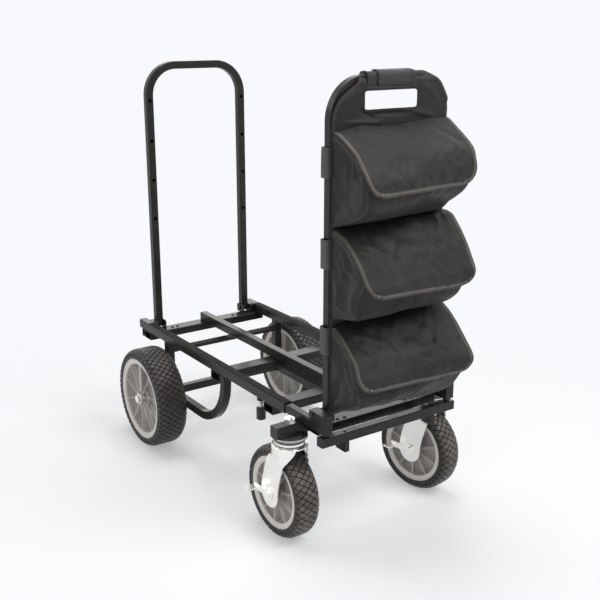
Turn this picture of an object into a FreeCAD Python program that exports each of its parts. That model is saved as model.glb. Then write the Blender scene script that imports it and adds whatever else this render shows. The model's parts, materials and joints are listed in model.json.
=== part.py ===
"""Telescoping, folding four-wheel equipment cart with a three-pocket bag on its front handle.

Frame: +Z up, floor at Z 0, +X to the cart's right, the caster and bag end faces -Y.
Every station along the cart is counted from the rear axle, at Y = axle_y.
"""
import FreeCAD
import Part
import Sketcher

import os
import re

SIZES = {
    # wheels
    "wheel_radius": 127.0,
    "wheel_width": 76.0,
    "wheel_rim_radius": 105.0,
    "caster_radius": 101.6,
    "caster_width": 54.0,
    "caster_rim_radius": 80.0,
    "tyre_wall": 11.0,
    "rim_lip": 12.0,
    "rim_wall": 7.0,
    "spoke_thickness": 4.0,
    "spoke_depth": 34.0,
    "web_thickness": 4.0,
    "hub_radius": 19.0,
    "axle_radius": 6.0,
    "axle_nut": 6.0,
    "caster_axle_radius": 5.0,
    "bearing_radius": 14.0,
    "bearing_width": 9.0,
    "wheel_spacer": 7.3,
    "run_clear": 0.05,
    "gap": 0.3,
    # casters
    "kingpin_outset": 17.8,
    "kingpin_radius": 6.0,
    "kingpin_nut_height": 10.0,
    "kingpin_head_height": 3.5,
    "bolt_head": 4.0,
    "caster_trail": 25.0,
    "fork_gap": 4.0,
    "fork_plate": 4.0,
    "fork_foot_radius": 34.0,
    "fork_crown_radius": 39.0,
    "fork_top_back": 34.0,
    "fork_top_front": 30.0,
    "crown_gap": 11.8,
    "race_radius": 33.0,
    "race_height": 16.0,
    "race_plate": 4.0,
    "left_swivel": 1.0,
    "right_swivel": 9.0,
    "pedal_reach": 52.0,
    "pedal_tread": 28.0,
    "pedal_plate": 3.6,
    "pedal_arm_h": 14.0,
    "pedal_tread_depth": 20.0,
    "pedal_tread_lap": 16.0,
    # deck frame
    "axle_y": 311.0,
    "rail_overhang": 154.0,
    "plug_lip": 2.4,
    "rail_length": 704.0,
    "deck_width": 350.4,
    "rail_w": 20.5,
    "rail_h": 22.6,
    "rail_wall": 1.5,
    "tube_corner": 2.0,
    "slide_clear": 0.3,
    "rail_insert": 610.0,
    "center_rail_back": 116.0,
    "cross_w": 38.0,
    "cross_h": 20.0,
    "rear_cross_back": 127.0,
    "middle_cross_back": -235.0,
    "forward_cross_back": -469.0,
    "tie_h": 11.0,
    "leg_size": 20.0,
    "leg_wall": 1.5,
    "leg_offset": 2.0,
    "brace_drop": 15.0,
    "brace_radius": 8.0,
    "side_brace_front": -297.0,
    "side_brace_straight": 17.8,
    "strip_height": 1.2,
    "strip_w": 16.0,
    "strip_back": 104.0,
    "bumper_radius": 8.0,
    "bumper_height": 22.0,
    # extending front end
    "front_gap": 34.4,
    "arm_size": 25.6,
    "arm_overhang": 37.0,
    "front_cross_step": 2.6,
    "front_cross_inset": 17.0,
    "socket_lip": 1.5,
    "socket_length": 51.0,
    "socket_h": 40.4,
    "bar_size": 20.5,
    "bar_drop": 6.6,
    "tab_w": 10.8,
    "tab_length": 32.0,
    "tab_h": 22.0,
    "tab_inset": 58.8,
    "bar_hole_inset": 57.2,
    "bar_hole_radius": 3.4,
    "bar_hole_ahead": 3.0,
    # extension lock
    "plunger_ahead": 108.0,
    "plunger_radius": 3.0,
    "plunger_nut_radius": 9.0,
    "plunger_nut_height": 8.0,
    "plunger_spring": 17.6,
    "spring_radius": 6.2,
    "spring_wire": 0.9,
    "knob_radius": 10.5,
    "knob_height": 28.0,
    # handles
    "handle_size": 19.0,
    "handle_wall": 1.5,
    "post_gap": 11.7,
    "handle_rise": 674.0,
    "handle_bend": 84.0,
    "rear_post_y": 126.8,
    "pivot_rise": 13.8,
    "pivot_tail": 26.0,
    "rear_tail": 9.5,
    "tail_flat": 0.5,
    "pivot_radius": 4.0,
    "pivot_head_radius": 6.5,
    "pivot_head": 3.4,
    "bracket_plate": 3.0,
    "bracket_length": 34.0,
    "bracket_ahead": 4.0,
    "bracket_corner": 5.0,
    "post_hole_radius": 4.3,
    "post_hole_drop": 95.3,
    "post_hole_pitch": 100.4,
    # bag
    "bag_inset": 2.0,
    "flap_side": 2.0,
    "cloth": 3.0,
    "strap_cloth": 2.2,
    "panel_hem": 2.0,
    "panel_corner": 76.0,
    "window_left": 68.0,
    "window_right": 64.0,
    "window_drop": 31.4,
    "window_h": 36.0,
    "window_corner": 6.0,
    "wrap_width": 120.0,
    "flap_line_drop": 93.4,
    "pocket_pitch": 190.0,
    "pocket_h": 184.0,
    "pocket_depth": 92.0,
    "mouth_drop": 16.0,
    "mouth_slope": 42.0,
    "lip_lean": 10.0,
    "belly_rise": 84.0,
    "chin_rise": 42.0,
    "chin_lean": 11.0,
    "keel_depth": 40.0,
    "keel_rise": 9.0,
    "flap_drop": 116.0,
    "flap_reach": 108.0,
    "shoulder_reach": 32.0,
    "shoulder_rise": 80.0,
    "brow_reach": 8.0,
    "brow_rise": 46.0,
    "hinge_gap": 0.8,
    "strap_height": 58.0,
    "strap_drop": 159.4,
    "strap_pitch": 176.0,
    # screws on the cross tubes, counted in from the rails' inner faces
    "screw_radius": 3.6,
    "screw_head": 2.2,
    "rear_screw_inset": 52.7,
    "rear_screw_pitch": 15.0,
    "front_screw_inset": 53.7,
    "front_screw_pitch": 19.0,
    "front_screw_ahead": 6.0,
    "tie_screw_offset": 14.0,
    "tie_screw_drop": 1.2,
}

doc = FreeCAD.newDocument("equipment_cart")
sheet = doc.addObject("Spreadsheet::Sheet", "Sizes")
for row, (alias, value) in enumerate(SIZES.items(), start=1):
    sheet.set(f"A{row}", alias)
    sheet.set(f"B{row}", str(value))
    sheet.setAlias(f"B{row}", alias)
doc.recompute()

NODES = []


# ---------------------------------------------------------------- formula helpers

def linked(formula):
    """A formula in the sheet's own aliases, as an expression that FreeCAD can evaluate."""
    words = r"\b(?!(?:sin|cos|tan|sqrt|max|min)\b)[a-z][a-z0-9_]*"
    return re.sub(words, lambda m: "Sizes." + m.group(0), str(formula))


def value(formula):
    """The number that a formula has with the present sheet."""
    names = {alias: sheet.get(alias) for alias in SIZES}
    total = FreeCAD.Units.Quantity
    text = re.sub(r"[a-z][a-z0-9_]*", lambda m: str(names[m.group(0)]), str(formula))
    return float(total(text).Value)


def bind(obj, **properties):
    for name, formula in properties.items():
        obj.setExpression(name.replace("_", "."), linked(formula))
    return obj


def place(obj, x=0, y=0, z=0):
    """Bind the position of an object to the sheet."""
    for axis, formula in zip("xyz", (x, y, z)):
        obj.setExpression(f"Placement.Base.{axis}", linked(formula))
    return obj


def minus(formula):
    return f"(-1*({formula}))"


# ---------------------------------------------------------------- solid helpers

def box(x, y, z, dx, dy, dz):
    """A block from its low corner and its three sizes."""
    solid = doc.addObject("Part::Box", "Block")
    bind(solid, Length=dx, Width=dy, Height=dz)
    return place(solid, x, y, z)


TURNS = {
    "x": FreeCAD.Rotation(FreeCAD.Vector(0, 1, 0), 90),
    "y": FreeCAD.Rotation(FreeCAD.Vector(1, 0, 0), -90),
    "z": FreeCAD.Rotation(),
}


def rod(axis, x, y, z, radius, length):
    """A cylinder that starts at a point and runs along +axis."""
    solid = doc.addObject("Part::Cylinder", "Rod")
    bind(solid, Radius=radius, Height=length)
    solid.Placement = FreeCAD.Placement(FreeCAD.Vector(), TURNS[axis])
    return place(solid, x, y, z)


def hexagon(x, y, z, radius, length):
    """A hexagonal nut or head that stands along Z."""
    solid = doc.addObject("Part::Prism", "Hexagon")
    solid.Polygon = 6
    bind(solid, Circumradius=radius, Height=length)
    return place(solid, x, y, z)


def cut(base, *tools):
    for tool in tools:
        result = doc.addObject("Part::Cut", "Cut")
        result.Base = base
        result.Tool = tool
        base = result
    return base


def fuse(*shapes):
    result = doc.addObject("Part::MultiFuse", "Joined")
    result.Shapes = list(shapes)
    result.Refine = True
    return result


def rounded(base, radius, chosen):
    """Round the edges of a solid whose middle point the function chosen accepts."""
    doc.recompute()
    size = value(radius)
    result = doc.addObject("Part::Fillet", "Rounded")
    result.Base = base
    picked = []
    for number, edge in enumerate(base.Shape.Edges, start=1):
        middle = edge.valueAt((edge.FirstParameter + edge.LastParameter) / 2)
        if chosen(edge, middle):
            picked.append((number, size, size))
    result.Edges = picked
    return result


def node(label, *solids):
    """Name a finished sub-part. Several solids become one group of separate solids."""
    if len(solids) == 1:
        part = solids[0]
    else:
        part = doc.addObject("Part::Compound", label)
        part.Links = list(solids)
    part.Label = label
    NODES.append(part)
    return part


def mirror_low(side, inner, outer):
    """Low X of a span that runs from inner to outer on the given side of the cart."""
    return inner if side > 0 else minus(outer)


def side_box(side, inner, outer, y, z, dy, dz):
    return box(mirror_low(side, inner, outer), y, z, f"({outer}) - ({inner})", dy, dz)


def side_rod(side, inner, outer, y, z, radius):
    return rod("x", mirror_low(side, inner, outer), y, z, radius, f"({outer}) - ({inner})")


def long_edges(axis):
    """A choice of the straight edges of a block that run along one axis."""
    return lambda e, m: abs(abs(getattr(e.tangentAt(e.FirstParameter), axis)) - 1) < 1e-6


def hollow_y(x, y, z, dx, length, dz, wall):
    """A rectangular tube along Y with round corners, open at both ends."""
    outer = rounded(box(x, y, z, dx, length, dz), "tube_corner", long_edges("y"))
    inner = box(f"{x} + {wall}", f"{y} - 1", f"{z} + {wall}",
                f"{dx} - 2*{wall}", f"{length} + 2", f"{dz} - 2*{wall}")
    return cut(outer, inner)


def hollow_x(x, y, z, length, dy, dz, wall):
    """A rectangular tube along X with round corners, open at both ends."""
    outer = rounded(box(x, y, z, length, dy, dz), "tube_corner", long_edges("x"))
    inner = box(f"{x} - 1", f"{y} + {wall}", f"{z} + {wall}",
                f"{length} + 2", f"{dy} - 2*{wall}", f"{dz} - 2*{wall}")
    return cut(outer, inner)


def hollow_z(x, y, z, dx, dy, height, wall):
    """A rectangular tube along Z with round corners, open at both ends."""
    outer = rounded(box(x, y, z, dx, dy, height), "tube_corner", long_edges("z"))
    inner = box(f"{x} + {wall}", f"{y} + {wall}", f"{z} - 1",
                f"{dx} - 2*{wall}", f"{dy} - 2*{wall}", f"{height} + 2")
    return cut(outer, inner)


def outline(body, points, name):
    """A closed sketch in the body's YZ plane; every corner is held by two bound distances."""
    sketch = body.newObject("Sketcher::SketchObject", name)
    planes = {feature.Role: feature for feature in body.Origin.OriginFeatures}
    sketch.AttachmentSupport = (planes["YZ_Plane"], [""])
    sketch.MapMode = "FlatFace"
    corners = [FreeCAD.Vector(value(y), value(z), 0) for y, z in points]
    count = len(corners)
    for index in range(count):
        sketch.addGeometry(Part.LineSegment(corners[index], corners[(index + 1) % count]), False)
    for index in range(count):
        sketch.addConstraint(Sketcher.Constraint("Coincident", index, 2, (index + 1) % count, 1))
    for index, (y, z) in enumerate(points):
        for kind, formula in (("DistanceX", y), ("DistanceY", z)):
            number = sketch.addConstraint(
                Sketcher.Constraint(kind, -1, 1, index, 1, value(formula)))
            sketch.setExpression(f"Constraints[{number}]", linked(formula))
    return sketch


def extrusion(label, points, width, hollow=None, hollow_width=None):
    """A body with a profile in the YZ plane, centred on X, with an optional hollow in it."""
    body = doc.addObject("PartDesign::Body", label)
    pad = body.newObject("PartDesign::Pad", "Pad")
    pad.Profile = outline(body, points, "Profile")
    pad.Midplane = True
    bind(pad, Length=width)
    doc.recompute()
    if hollow:
        pocket = body.newObject("PartDesign::Pocket", "Hollow")
        pocket.Profile = outline(body, hollow, "HollowProfile")
        pocket.Midplane = True
        bind(pocket, Length=hollow_width)
        doc.recompute()
    return body


# ---------------------------------------------------------------- stations

HALF = "deck_width/2"
RAIL_INNER = "(deck_width/2 - rail_w)"
RAIL_MID = "(deck_width/2 - rail_w/2)"
RAIL_BACK = "(axle_y + rail_overhang)"
SEAM = "(axle_y + rail_overhang - rail_length)"
ARM_LOW = "(2*caster_radius + crown_gap + fork_plate + race_height + race_plate)"
INNER_LOW = f"({ARM_LOW} + arm_size)"
DECK_LOW = f"({INNER_LOW} - rail_wall - slide_clear)"
DECK_TOP = f"({DECK_LOW} + rail_h)"
ARM_FRONT = f"({SEAM} - front_gap - arm_size)"
KINGPIN_Y = f"({ARM_FRONT} + arm_size/2)"
FRONT_CROSS_FRONT = f"({ARM_FRONT} - front_cross_step - cross_w)"
SOCKET_BACK = f"({FRONT_CROSS_FRONT} + handle_size/2)"
FRONT_POST_Y = f"({SOCKET_BACK} - handle_size/2)"
REAR_POST_Y = "(axle_y + rear_post_y)"
BAR_FRONT = f"({SOCKET_BACK} - socket_length - gap)"
BAR_TOP = f"({INNER_LOW} - bar_drop)"
PIVOT_Z = f"({DECK_TOP} + pivot_rise)"
REAR_PIVOT_Z = f"({DECK_LOW} + rail_h/2)"
POST_OUTER = "(deck_width/2 - rail_w - post_gap)"
POST_INNER = f"({POST_OUTER} - handle_size)"
SOCKET_INNER = "(deck_width/2 - rail_w - socket_lip)"
WHEEL_INNER = "(deck_width/2 + wheel_spacer)"
WHEEL_X = f"({WHEEL_INNER} + wheel_width/2)"
KINGPIN_X = "(deck_width/2 + kingpin_outset)"
ARM_END = f"({KINGPIN_X} + arm_overhang)"
FOOT_LOW = "(wheel_radius - leg_size/2)"
BAG_HALF = f"({POST_OUTER} - bag_inset)"
HANDLE_TOP = f"({DECK_TOP} + handle_rise)"
FLAP_LINE = f"({HANDLE_TOP} - flap_line_drop)"
PANEL_LOW = f"({FLAP_LINE} - 2*pocket_pitch - pocket_h - panel_hem)"
WINDOW_TOP = f"({HANDLE_TOP} - window_drop)"
LEG_FRONT = "(axle_y + leg_offset - leg_size/2)"
PANEL_BACK = f"({FRONT_POST_Y} - handle_size/2 - strap_cloth - 2*gap)"
PANEL_FRONT = f"({PANEL_BACK} - cloth)"
FORK_INNER = "(caster_width/2 + fork_gap)"
FORK_OUTER = "(caster_width/2 + fork_gap + fork_plate)"
CROWN_LOW = "(2*caster_radius + crown_gap)"


# ---------------------------------------------------------------- deck frame

def make_outer_rails():
    """Outer rails: square-edged tubes that the front end slides into."""
    for side, name in ((-1, "left"), (1, "right")):
        rail = hollow_y(mirror_low(side, RAIL_INNER, HALF), SEAM, DECK_LOW,
                        "rail_w", "rail_length", "rail_h", "rail_wall")
        pin_way = rod("z", f"{side}*{RAIL_MID}", f"{SEAM} + plunger_ahead", f"{DECK_LOW} - 1",
                      "plunger_radius + 0.1", "rail_wall + 2")
        node(f"{name}_outer_rail", cut(rail, pin_way))


def make_center_rail():
    """Centre rail, from the rear cross tube to the forward one."""
    length = "(center_rail_back - forward_cross_back + cross_w)"
    rail = hollow_y("-1*rail_w/2", "axle_y + forward_cross_back - cross_w", DECK_LOW,
                    "rail_w", length, "rail_h", "rail_wall")
    node("center_rail", rail)


def make_cross_tubes():
    """Three flat cross tubes under the rails and the tie between the forward two."""
    for name in ("rear", "middle", "forward"):
        tube = hollow_x(f"-1*{HALF}", f"axle_y + {name}_cross_back - cross_w",
                        f"{DECK_LOW} - cross_h", "deck_width", "cross_w", "cross_h", "rail_wall")
        node(f"{name}_cross_tube", tube)
    tie_back = "(middle_cross_back - cross_w)"
    node("center_tie", box("-1*rail_w/2", "axle_y + forward_cross_back", f"{DECK_LOW} - tie_h",
                           "rail_w", f"{tie_back} - forward_cross_back", "tie_h"))


def make_legs():
    """Wheel legs, the tube between their feet and the round brace above it."""
    foot = FOOT_LOW
    legs = []
    for side in (-1, 1):
        leg = hollow_z(mirror_low(side, f"({HALF} - leg_size)", HALF), LEG_FRONT, foot,
                       "leg_size", "leg_size", f"({DECK_LOW} - {foot})", "leg_wall")
        bore = side_rod(side, f"{HALF} - leg_size - 1", f"{HALF} + 1", "axle_y",
                        "wheel_radius", "axle_radius + run_clear")
        legs.append(cut(leg, bore))
    node("wheel_legs", *legs)
    span = "(deck_width - 2*leg_size)"
    node("axle_tube", hollow_x(f"-1*{span}/2", LEG_FRONT, foot,
                               span, "leg_size", "leg_size", "leg_wall"))
    node("leg_brace", rod("x", f"-1*{span}/2", "axle_y + leg_offset",
                          f"{DECK_LOW} - brace_drop - brace_radius", "brace_radius", span))


def bent_tube(side, shrink, reach):
    """An L-shaped tube in the YZ plane, from the rail down and back to the wheel leg.

    shrink takes the wall off every face for the hollow, and reach runs past both ends.
    """
    front = f"(axle_y + side_brace_front + {shrink})"
    back = f"({LEG_FRONT} + {reach})"
    low = f"({FOOT_LOW} + {shrink})"
    top = f"({DECK_LOW} + {reach})"
    size = f"(leg_size - 2*{shrink})"
    inner_x = f"({HALF} - leg_size + {shrink})"
    outer_x = f"({HALF} - {shrink})"
    outer = side_box(side, inner_x, outer_x, front, low, f"{back} - {front}", f"{top} - {low}")
    bend = f"({DECK_LOW} - {FOOT_LOW} - side_brace_straight - {shrink})"
    outer = rounded(outer, bend, lambda e, m: abs(m.y - value(front)) < .01
                    and abs(m.z - value(low)) < .01)
    inner = side_box(side, f"{inner_x} - 1", f"{outer_x} + 1", f"{front} + {size}",
                     f"{low} + {size}", f"{back} - {front}", f"{top} - {low}")
    inner_bend = f"({DECK_LOW} - {FOOT_LOW} - side_brace_straight - leg_size + {shrink})"
    inner = rounded(inner, inner_bend, lambda e, m: abs(m.y - value(f"{front} + {size}")) < .01
                    and abs(m.z - value(f"{low} + {size}")) < .01)
    return cut(outer, inner)


def make_side_braces():
    """Bent tubes from the rails to the wheel legs, with their long edges rounded."""
    for side, name in ((-1, "left"), (1, "right")):
        faces = [value(f"{side}*({HALF} - leg_size)"), value(f"{side}*({HALF})")]

        def along(edge, middle, faces=faces):
            on_face = min(abs(middle.x - face) for face in faces) < .01
            direction = abs(edge.tangentAt(edge.FirstParameter).x)
            at_end = edge.Length < value("leg_size") + .01
            return on_face and direction < .01 and not at_end

        solid = rounded(bent_tube(side, "0", "0"), "tube_corner", along)
        node(f"{name}_side_brace", cut(solid, bent_tube(side, "leg_wall", "1")))


def make_deck_trim():
    """Grip strips on the outer rails, plugs in the rails' rear ends and rear bumpers."""
    strips = []
    plugs = []
    bumpers = []
    for side in (-1, 1):
        middle = f"{side}*{RAIL_MID}"
        strips.append(box(f"{middle} - strip_w/2", SEAM, DECK_TOP, "strip_w",
                          f"(axle_y + strip_back - {SEAM})", "strip_height"))
        bumpers.append(rod("z", middle, f"{RAIL_BACK} - bumper_radius - gap",
                           f"{DECK_LOW} - bumper_height", "bumper_radius", "bumper_height"))
    ends = ((f"-1*{RAIL_MID}", RAIL_BACK), (RAIL_MID, RAIL_BACK),
            ("0", "(axle_y + center_rail_back)"))
    for middle, back in ends:
        plug = box(f"{middle} - rail_w/2", back, DECK_LOW, "rail_w", "plug_lip", "rail_h")
        plugs.append(rounded(plug, "tube_corner", long_edges("y")))
    node("grip_strips", *strips)
    node("rail_end_plugs", *plugs)
    node("rear_bumpers", *bumpers)


def make_axle_hardware():
    """Through-bolts that carry the rear wheels, with the spacers behind the wheels."""
    bolts = []
    spacers = []
    hub_out = f"({WHEEL_INNER} + wheel_width)"
    hub_in = WHEEL_INNER
    for side in (-1, 1):
        shank = side_rod(side, f"{HALF} - 2*leg_size", f"{hub_out} + gap", "axle_y",
                         "wheel_radius", "axle_radius")
        head = side_rod(side, f"{hub_out} + gap", f"{hub_out} + gap + axle_nut", "axle_y",
                        "wheel_radius", "axle_radius + 4.5")
        bolts.append(fuse(shank, head))
        ring = side_rod(side, HALF, f"{hub_in} - gap", "axle_y", "wheel_radius",
                        "axle_radius + 4")
        bore = side_rod(side, f"{HALF} - 1", f"{hub_in} + 1", "axle_y", "wheel_radius",
                        "axle_radius + run_clear")
        spacers.append(cut(ring, bore))
    node("wheel_axle_bolts", *bolts)
    node("wheel_spacers", *spacers)


def frame_screws():
    """Screw heads on the rear and middle cross tubes."""
    heads = []
    for side in (-1, 1):
        for index in range(2):
            x = f"{side}*({RAIL_INNER} - rear_screw_inset - {index}*rear_screw_pitch)"
            heads.append(rod("z", x, "axle_y + rear_cross_back - cross_w/2", DECK_LOW,
                             "screw_radius", "screw_head"))
        heads.append(rod("y", f"{side}*tie_screw_offset",
                         "axle_y + middle_cross_back - cross_w - screw_head",
                         f"{DECK_LOW} - tie_h - tie_screw_drop - screw_radius",
                         "screw_radius", "screw_head"))
    return heads


# ---------------------------------------------------------------- extension lock

def make_lock_nuts():
    """Threaded bosses under the rails that guide the spring plungers."""
    bosses = []
    for side in (-1, 1):
        middle = f"{side}*{RAIL_MID}"
        low = f"({DECK_LOW} - plunger_nut_height)"
        boss = rod("z", middle, f"{SEAM} + plunger_ahead", low, "plunger_nut_radius",
                   "plunger_nut_height")
        bore = rod("z", middle, f"{SEAM} + plunger_ahead", f"{low} - 1",
                   "plunger_radius + run_clear", "plunger_nut_height + 2")
        bosses.append(cut(boss, bore))
    node("plunger_bosses", *bosses)


def make_plungers():
    for side, name in ((-1, "left"), (1, "right")):
        middle = f"{side}*{RAIL_MID}"
        station = f"{SEAM} + plunger_ahead"
        knob_low = f"({DECK_LOW} - plunger_nut_height - plunger_spring - knob_height)"
        knob_top = f"({knob_low} + knob_height)"
        knob = rounded(rod("z", middle, station, knob_low, "knob_radius", "knob_height"),
                       "2", lambda e, m: e.Closed)
        pin = rod("z", middle, station, f"{knob_top} - 6", "plunger_radius",
                  f"{INNER_LOW} - gap - {knob_top} + 6")
        node(f"{name}_plunger", fuse(knob, pin))
        helix = doc.addObject("Part::Helix", "Coil")
        bind(helix, Radius="spring_radius", Height="plunger_spring - 2*spring_wire - 1",
             Pitch="(plunger_spring - 2*spring_wire - 1)/5")
        wire = doc.addObject("Part::Circle", "Wire")
        bind(wire, Radius="spring_wire")
        wire.Placement = FreeCAD.Placement(FreeCAD.Vector(),
                                           FreeCAD.Rotation(FreeCAD.Vector(1, 0, 0), 90))
        place(wire, "spring_radius", "0", "0")
        doc.recompute()
        spring = doc.addObject("Part::Sweep", "Spring")
        spring.Sections = [wire]
        spring.Spine = (helix, [f"Edge{i + 1}" for i in range(len(helix.Shape.Edges))])
        spring.Solid = True
        spring.Frenet = True
        place(spring, middle, station, f"{knob_top} + spring_wire + 0.5")
        node(f"{name}_plunger_spring", spring)


# ---------------------------------------------------------------- front end

def make_inner_rails():
    rails = []
    width = "(rail_w - 2*rail_wall - 2*slide_clear)"
    height = "(rail_h - 2*rail_wall - 2*slide_clear)"
    length = f"({SEAM} - {SOCKET_BACK} + rail_insert)"
    for side in (-1, 1):
        rails.append(hollow_y(f"{side}*{RAIL_MID} - {width}/2", SOCKET_BACK, INNER_LOW,
                              width, length, height, "rail_wall"))
    node("inner_rails", *rails)


def make_front_tubes():
    """Caster arm tube, upper cross tube, lower bar with its welded tabs, and the plugs."""
    arm = hollow_x(minus(ARM_END), ARM_FRONT, ARM_LOW, f"2*{ARM_END}", "arm_size", "arm_size",
                   "rail_wall")
    for side in (-1, 1):
        arm = cut(arm, rod("z", f"{side}*{KINGPIN_X}", KINGPIN_Y, f"{ARM_LOW} - 1",
                           "kingpin_radius + run_clear", "arm_size + 2"))
    node("caster_arm_tube", arm)
    reach = f"({HALF} - front_cross_inset)"
    node("front_cross_tube", hollow_x(f"-1*{reach}", FRONT_CROSS_FRONT, f"{INNER_LOW} - cross_h",
                                      f"2*{reach}", "cross_w", "cross_h", "rail_wall"))
    bar = hollow_x(f"-1*{HALF}", BAR_FRONT, f"{BAR_TOP} - bar_size", "deck_width", "bar_size",
                   "bar_size", "rail_wall")
    tabs = []
    for side in (-1, 1):
        bar = cut(bar, rod("z", f"{side}*({HALF} - bar_hole_inset)",
                           f"{BAR_FRONT} + bar_size/2 - bar_hole_ahead",
                           f"{BAR_TOP} - rail_wall - 1", "bar_hole_radius", "rail_wall + 2"))
        tabs.append(box(f"{side}*({HALF} - tab_inset) - tab_w/2", BAR_FRONT,
                        f"{BAR_TOP} - bar_size - tab_h", "tab_w", "tab_length", "tab_h"))
    node("lower_front_bar", fuse(bar, *tabs))
    ends = []
    for side in (-1, 1):
        arm_end = side_box(side, ARM_END, f"{ARM_END} + plug_lip", ARM_FRONT, ARM_LOW,
                           "arm_size", "arm_size")
        bar_end = side_box(side, HALF, f"{HALF} + plug_lip", BAR_FRONT,
                           f"{BAR_TOP} - bar_size", "bar_size", "bar_size")
        ends += [rounded(arm_end, "tube_corner", long_edges("x")),
                 rounded(bar_end, "tube_corner", long_edges("x"))]
    node("front_tube_plugs", *ends)


def make_sockets():
    """Corner blocks on the inner rails' ends, the pivot bolts and their spacers."""
    blocks = []
    bolts = []
    sleeves = []
    for side in (-1, 1):
        block = side_box(side, SOCKET_INNER, HALF, f"{SOCKET_BACK} - socket_length",
                         INNER_LOW, "socket_length", "socket_h")
        block = rounded(block, "2", lambda e, m: abs(m.y - value(
            f"{SOCKET_BACK} - socket_length")) < .01)
        bore = side_rod(side, f"{SOCKET_INNER} - 1", f"{HALF} + 1", FRONT_POST_Y, PIVOT_Z,
                        "pivot_radius + run_clear")
        blocks.append(cut(block, bore))
        shank = side_rod(side, f"{POST_INNER} - gap", HALF, FRONT_POST_Y, PIVOT_Z, "pivot_radius")
        head = side_rod(side, HALF, f"{HALF} + pivot_head", FRONT_POST_Y, PIVOT_Z,
                        "pivot_head_radius")
        nut = side_rod(side, f"{POST_INNER} - gap - 2*pivot_head", f"{POST_INNER} - gap",
                       FRONT_POST_Y, PIVOT_Z, "pivot_head_radius")
        bolts.append(fuse(shank, head, nut))
        sleeve = side_rod(side, f"{POST_OUTER} + gap", SOCKET_INNER, FRONT_POST_Y, PIVOT_Z,
                          "pivot_head_radius")
        hole = side_rod(side, f"{POST_OUTER} - 1", HALF, FRONT_POST_Y, PIVOT_Z,
                        "pivot_radius + run_clear")
        sleeves.append(cut(sleeve, hole))
    node("corner_sockets", *blocks)
    node("front_fasteners", *bolts, *front_screws())
    node("front_spacers", *sleeves, *bar_spacers())


def front_screws():
    """Screw heads on the front cross tube."""
    heads = []
    for side in (-1, 1):
        for index in range(2):
            x = f"{side}*({RAIL_INNER} - front_screw_inset - {index}*front_screw_pitch)"
            heads.append(rod("z", x, f"{FRONT_CROSS_FRONT} + cross_w/2 - front_screw_ahead",
                             INNER_LOW, "screw_radius", "screw_head"))
    return heads


def bar_spacers():
    """Round spacers between the lower bar and the corner sockets."""
    return [rod("z", f"{side}*({HALF} + {SOCKET_INNER})/2", f"{BAR_FRONT} + bar_size/2", BAR_TOP,
                "screw_radius + 3", "bar_drop") for side in (-1, 1)]


# ---------------------------------------------------------------- wheels

def tyre(radius, width, rim_radius, x, y, z):
    """A hollow tyre about the X axis, with rounded shoulders and seats for the rim's lips."""
    low_x = f"{x} - {width}/2"
    tread = rod("x", low_x, y, z, radius, width)
    tread = rounded(tread, f"{width}*0.24", lambda e, m: e.Closed)
    seat = f"({rim_radius} - rim_lip + gap)"
    bore = rod("x", f"{low_x} - 1", y, z, seat, f"{width} + 2")
    lips = [rod("x", f"{low_x} - 1", y, z, f"{rim_radius} + gap", "6.6"),
            rod("x", f"{x} + {width}/2 - 5.6", y, z, f"{rim_radius} + gap", "6.6")]
    inside = rod("x", f"{x} - {width}/2 + tyre_wall", y, z, f"{radius} - tyre_wall",
                 f"{width} - 2*tyre_wall")
    return cut(tread, bore, inside, *lips)


def rim(radius, width, bore_radius, bearing, x, y, z):
    """A rim with a barrel, a lip on each side, a closed web, a hub and ten thin ribs."""
    span = f"({width} - 7)"
    barrel = rod("x", f"{x} - {span}/2", y, z, f"{radius} - rim_lip", span)
    lips = [rod("x", f"{x} - {span}/2", y, z, radius, "2"),
            rod("x", f"{x} + {span}/2 - 2", y, z, radius, "2")]
    inside = rod("x", f"{x} - {span}/2 - 1", y, z, f"{radius} - rim_lip - rim_wall",
                 f"{span} + 2")
    ring = cut(fuse(barrel, *lips), inside)
    hub = rod("x", f"{x} - {width}/2", y, z, "hub_radius", width)
    spokes = []
    reach = f"({radius} - rim_lip - rim_wall/2)"
    web = rod("x", f"{x} - web_thickness/2", y, z, reach, "web_thickness")
    for index in range(10):
        spoke = doc.addObject("Part::Box", "Spoke")
        bind(spoke, Length="spoke_depth", Width="spoke_thickness", Height=f"{reach} - 8")
        turn = FreeCAD.Rotation(FreeCAD.Vector(1, 0, 0), 36.0 * index)
        spoke.Placement = FreeCAD.Placement(FreeCAD.Vector(), turn)
        angle = f"{36 * index} deg"
        low = f"(0 - spoke_thickness/2)*cos({angle}) - 8*sin({angle})"
        up = f"(0 - spoke_thickness/2)*sin({angle}) + 8*cos({angle})"
        for axis, formula in zip("xyz", (f"{x} - spoke_depth/2", f"{y} + {low}", f"{z} + {up}")):
            text = linked(formula.replace(" deg", "DEG")).replace("DEG", " deg")
            spoke.setExpression(f"Placement.Base.{axis}", text)
        spokes.append(spoke)
    wheel = fuse(ring, hub, web, *spokes)
    tools = [rod("x", f"{x} - {width}/2 - 1", y, z, bore_radius, f"{width} + 2")]
    if bearing:
        tools.append(rod("x", f"{x} - {width}/2 - 1", y, z, "bearing_radius",
                         "bearing_width + 1"))
        tools.append(rod("x", f"{x} + {width}/2 - bearing_width", y, z, "bearing_radius",
                         "bearing_width + 1"))
    return cut(wheel, *tools)


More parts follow.
